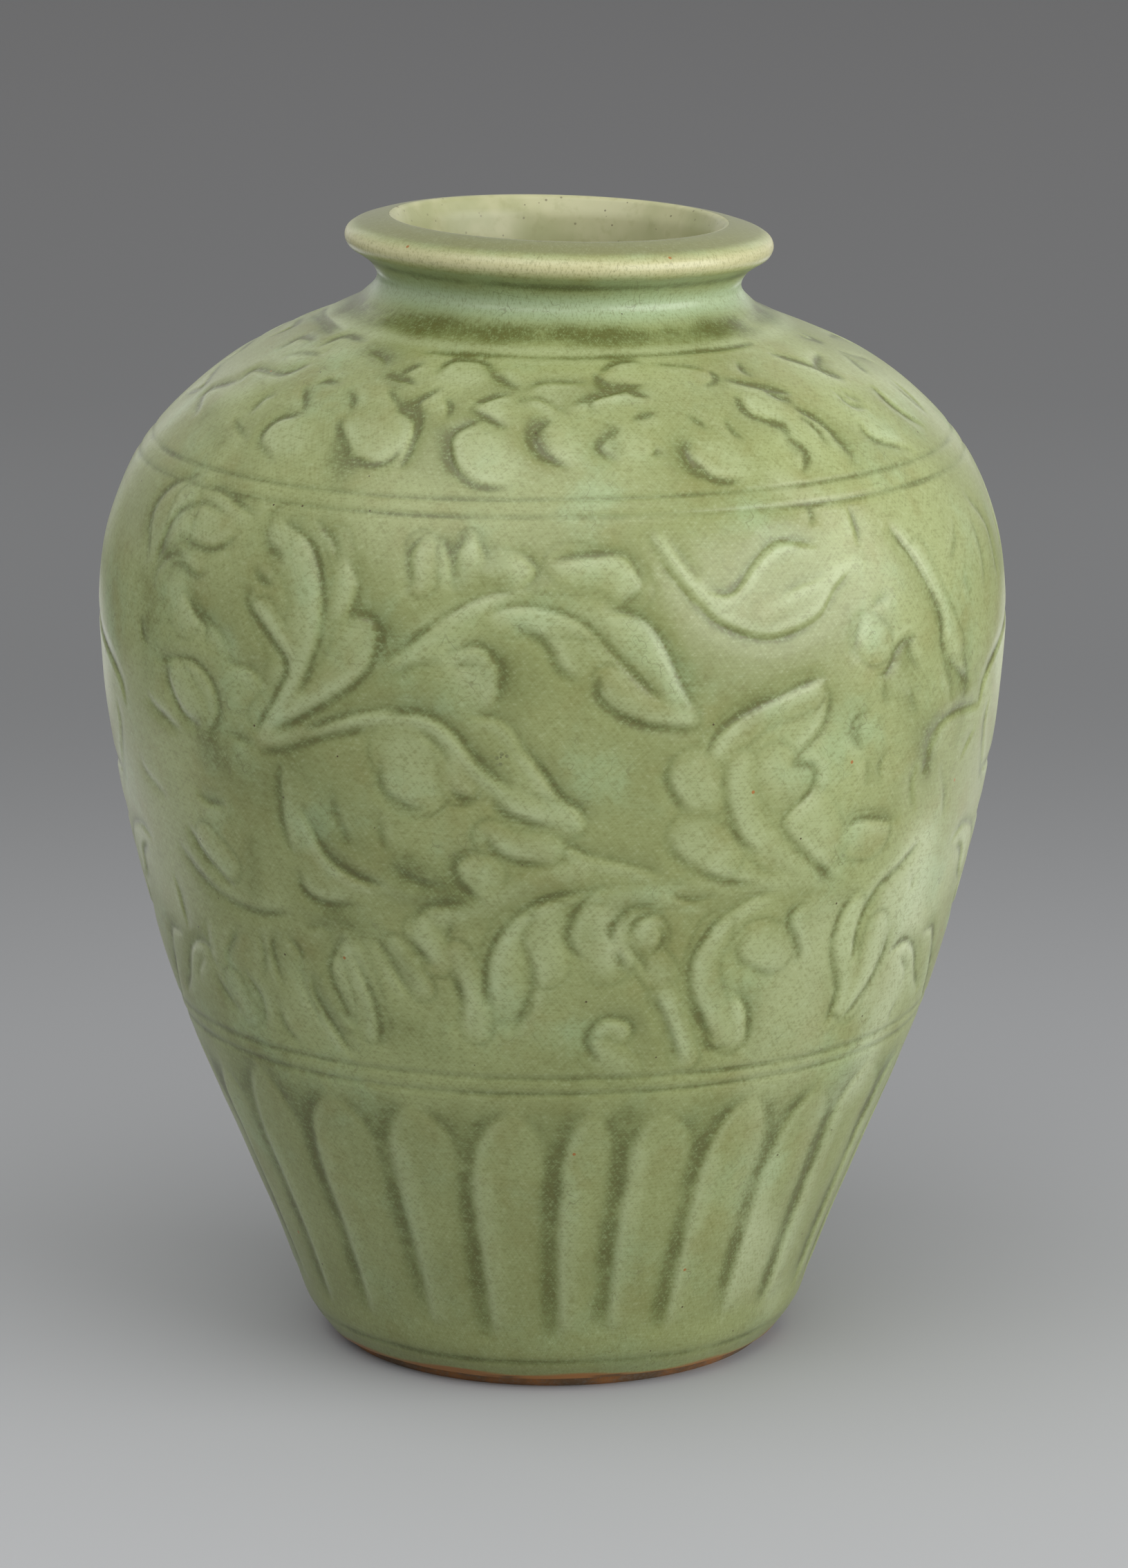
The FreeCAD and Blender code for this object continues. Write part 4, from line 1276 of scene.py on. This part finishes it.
def studio_paper():
    # Matt grey paper, with painted shade: its colour grows darker into the distance, where less light reaches
    # it
    material = new_material("studio_paper")
    place = add_node(material, "ShaderNodeTexCoord", {}).outputs["Object"]
    parts = add_node(material, "ShaderNodeSeparateXYZ", {"Vector": place})
    tone = tinted(material, colour("#adaeb0"), "#737475", parts.outputs["Y"], -0.35, 0.9)
    tone = tinted(material, tone, "#7a7a7b", parts.outputs["Y"], 0.5, 3.2)
    shader = add_node(material, "ShaderNodeBsdfPrincipled",
                      {"Base Color": tone, "Roughness": 0.9, "IOR": 1.4})
    add_node(material, "ShaderNodeOutputMaterial", {"Surface": shader.outputs[0]})
    return material


glaze = celadon_glaze()
glaze_inside = inner_celadon()
stoneware = fired_stoneware()


# The glazed outside
def glazed_outside():
    bottom = outline_height[0]
    for name, top, spacing in skin_bands:
        band = skin_band(name, bottom, top, spacing)
        bottom = top
        band.data.materials.append(glaze)
        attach(band, "root")
        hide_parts("outer_glaze")


# Clay and inner glaze near the neck, leaned with it
def leaned_copy(node, name, material):
    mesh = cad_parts[node].data.copy()
    mesh.name = name
    mesh_maker = bmesh.new()
    mesh_maker.from_mesh(mesh)
    bmesh.ops.remove_doubles(mesh_maker, verts=mesh_maker.verts, dist=weld_distance)
    mesh_maker.to_mesh(mesh)
    mesh_maker.free()
    place_vertices(mesh, leaned(places_of(mesh)))
    mesh.set_sharp_from_angle(angle=sharp_angle)
    mesh.materials.clear()
    mesh.materials.append(material)
    piece = add_piece(name, mesh)
    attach(piece, "root")
    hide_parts(node)


def leaned_neck():
    for node in ("shoulder_dome", "neck_collar", "rolled_lip"):
        leaned_copy(node, "leaned_" + node, stoneware)
    leaned_copy("inner_glaze", "leaned_inner_glaze", glaze_inside)


def paint_clay():
    for node in ("foot_ring", "base_disc", "lower_wall", "belly_wall"):
        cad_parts[node].data.materials[0] = stoneware
    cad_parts["base_glaze"].data.materials[0] = glaze_inside


# Studio
def floor():
    mesh_maker = bmesh.new()
    bmesh.ops.create_grid(mesh_maker, x_segments=1, y_segments=1, size=floor_half_width)
    mesh = mesh_from(mesh_maker, "studio_floor")
    mesh.materials.append(studio_paper())
    piece = add_piece("studio_floor", mesh)


def soft_light(name, place, aim, width, height, power):
    # a rectangular soft box that faces its aim
    lamp = bpy.data.lights.new(name, "AREA")
    lamp.shape = "RECTANGLE"
    lamp.size = width
    lamp.size_y = height
    lamp.energy = power
    piece = add_piece(name, lamp)
    piece.location = place
    piece.rotation_euler = (Vector(aim) - Vector(place)).to_track_quat("-Z", "Y").to_euler()


def lights():
    for soft_box in soft_lights:
        soft_light(*soft_box)
    world = bpy.data.worlds.new("studio_world")
    world.use_nodes = True
    world.node_tree.nodes["Background"].inputs[0].default_value = colour(room_tone)
    world.node_tree.nodes["Background"].inputs[1].default_value = room_strength
    bpy.context.scene.world = world


def camera():
    data = bpy.data.cameras.new("photo_camera")
    data.sensor_width = film_long_side
    data.lens = photo_focal_length / photo_height * film_long_side
    piece = add_piece("photo_camera", data)
    piece.location = camera_place
    piece.rotation_euler = (math.pi / 2 - camera_pitch, 0, 0)
    bpy.context.scene.camera = piece


glazed_outside()
leaned_neck()
paint_clay()
floor()
lights()
camera()
bpy.context.scene.view_settings.view_transform = "Standard"
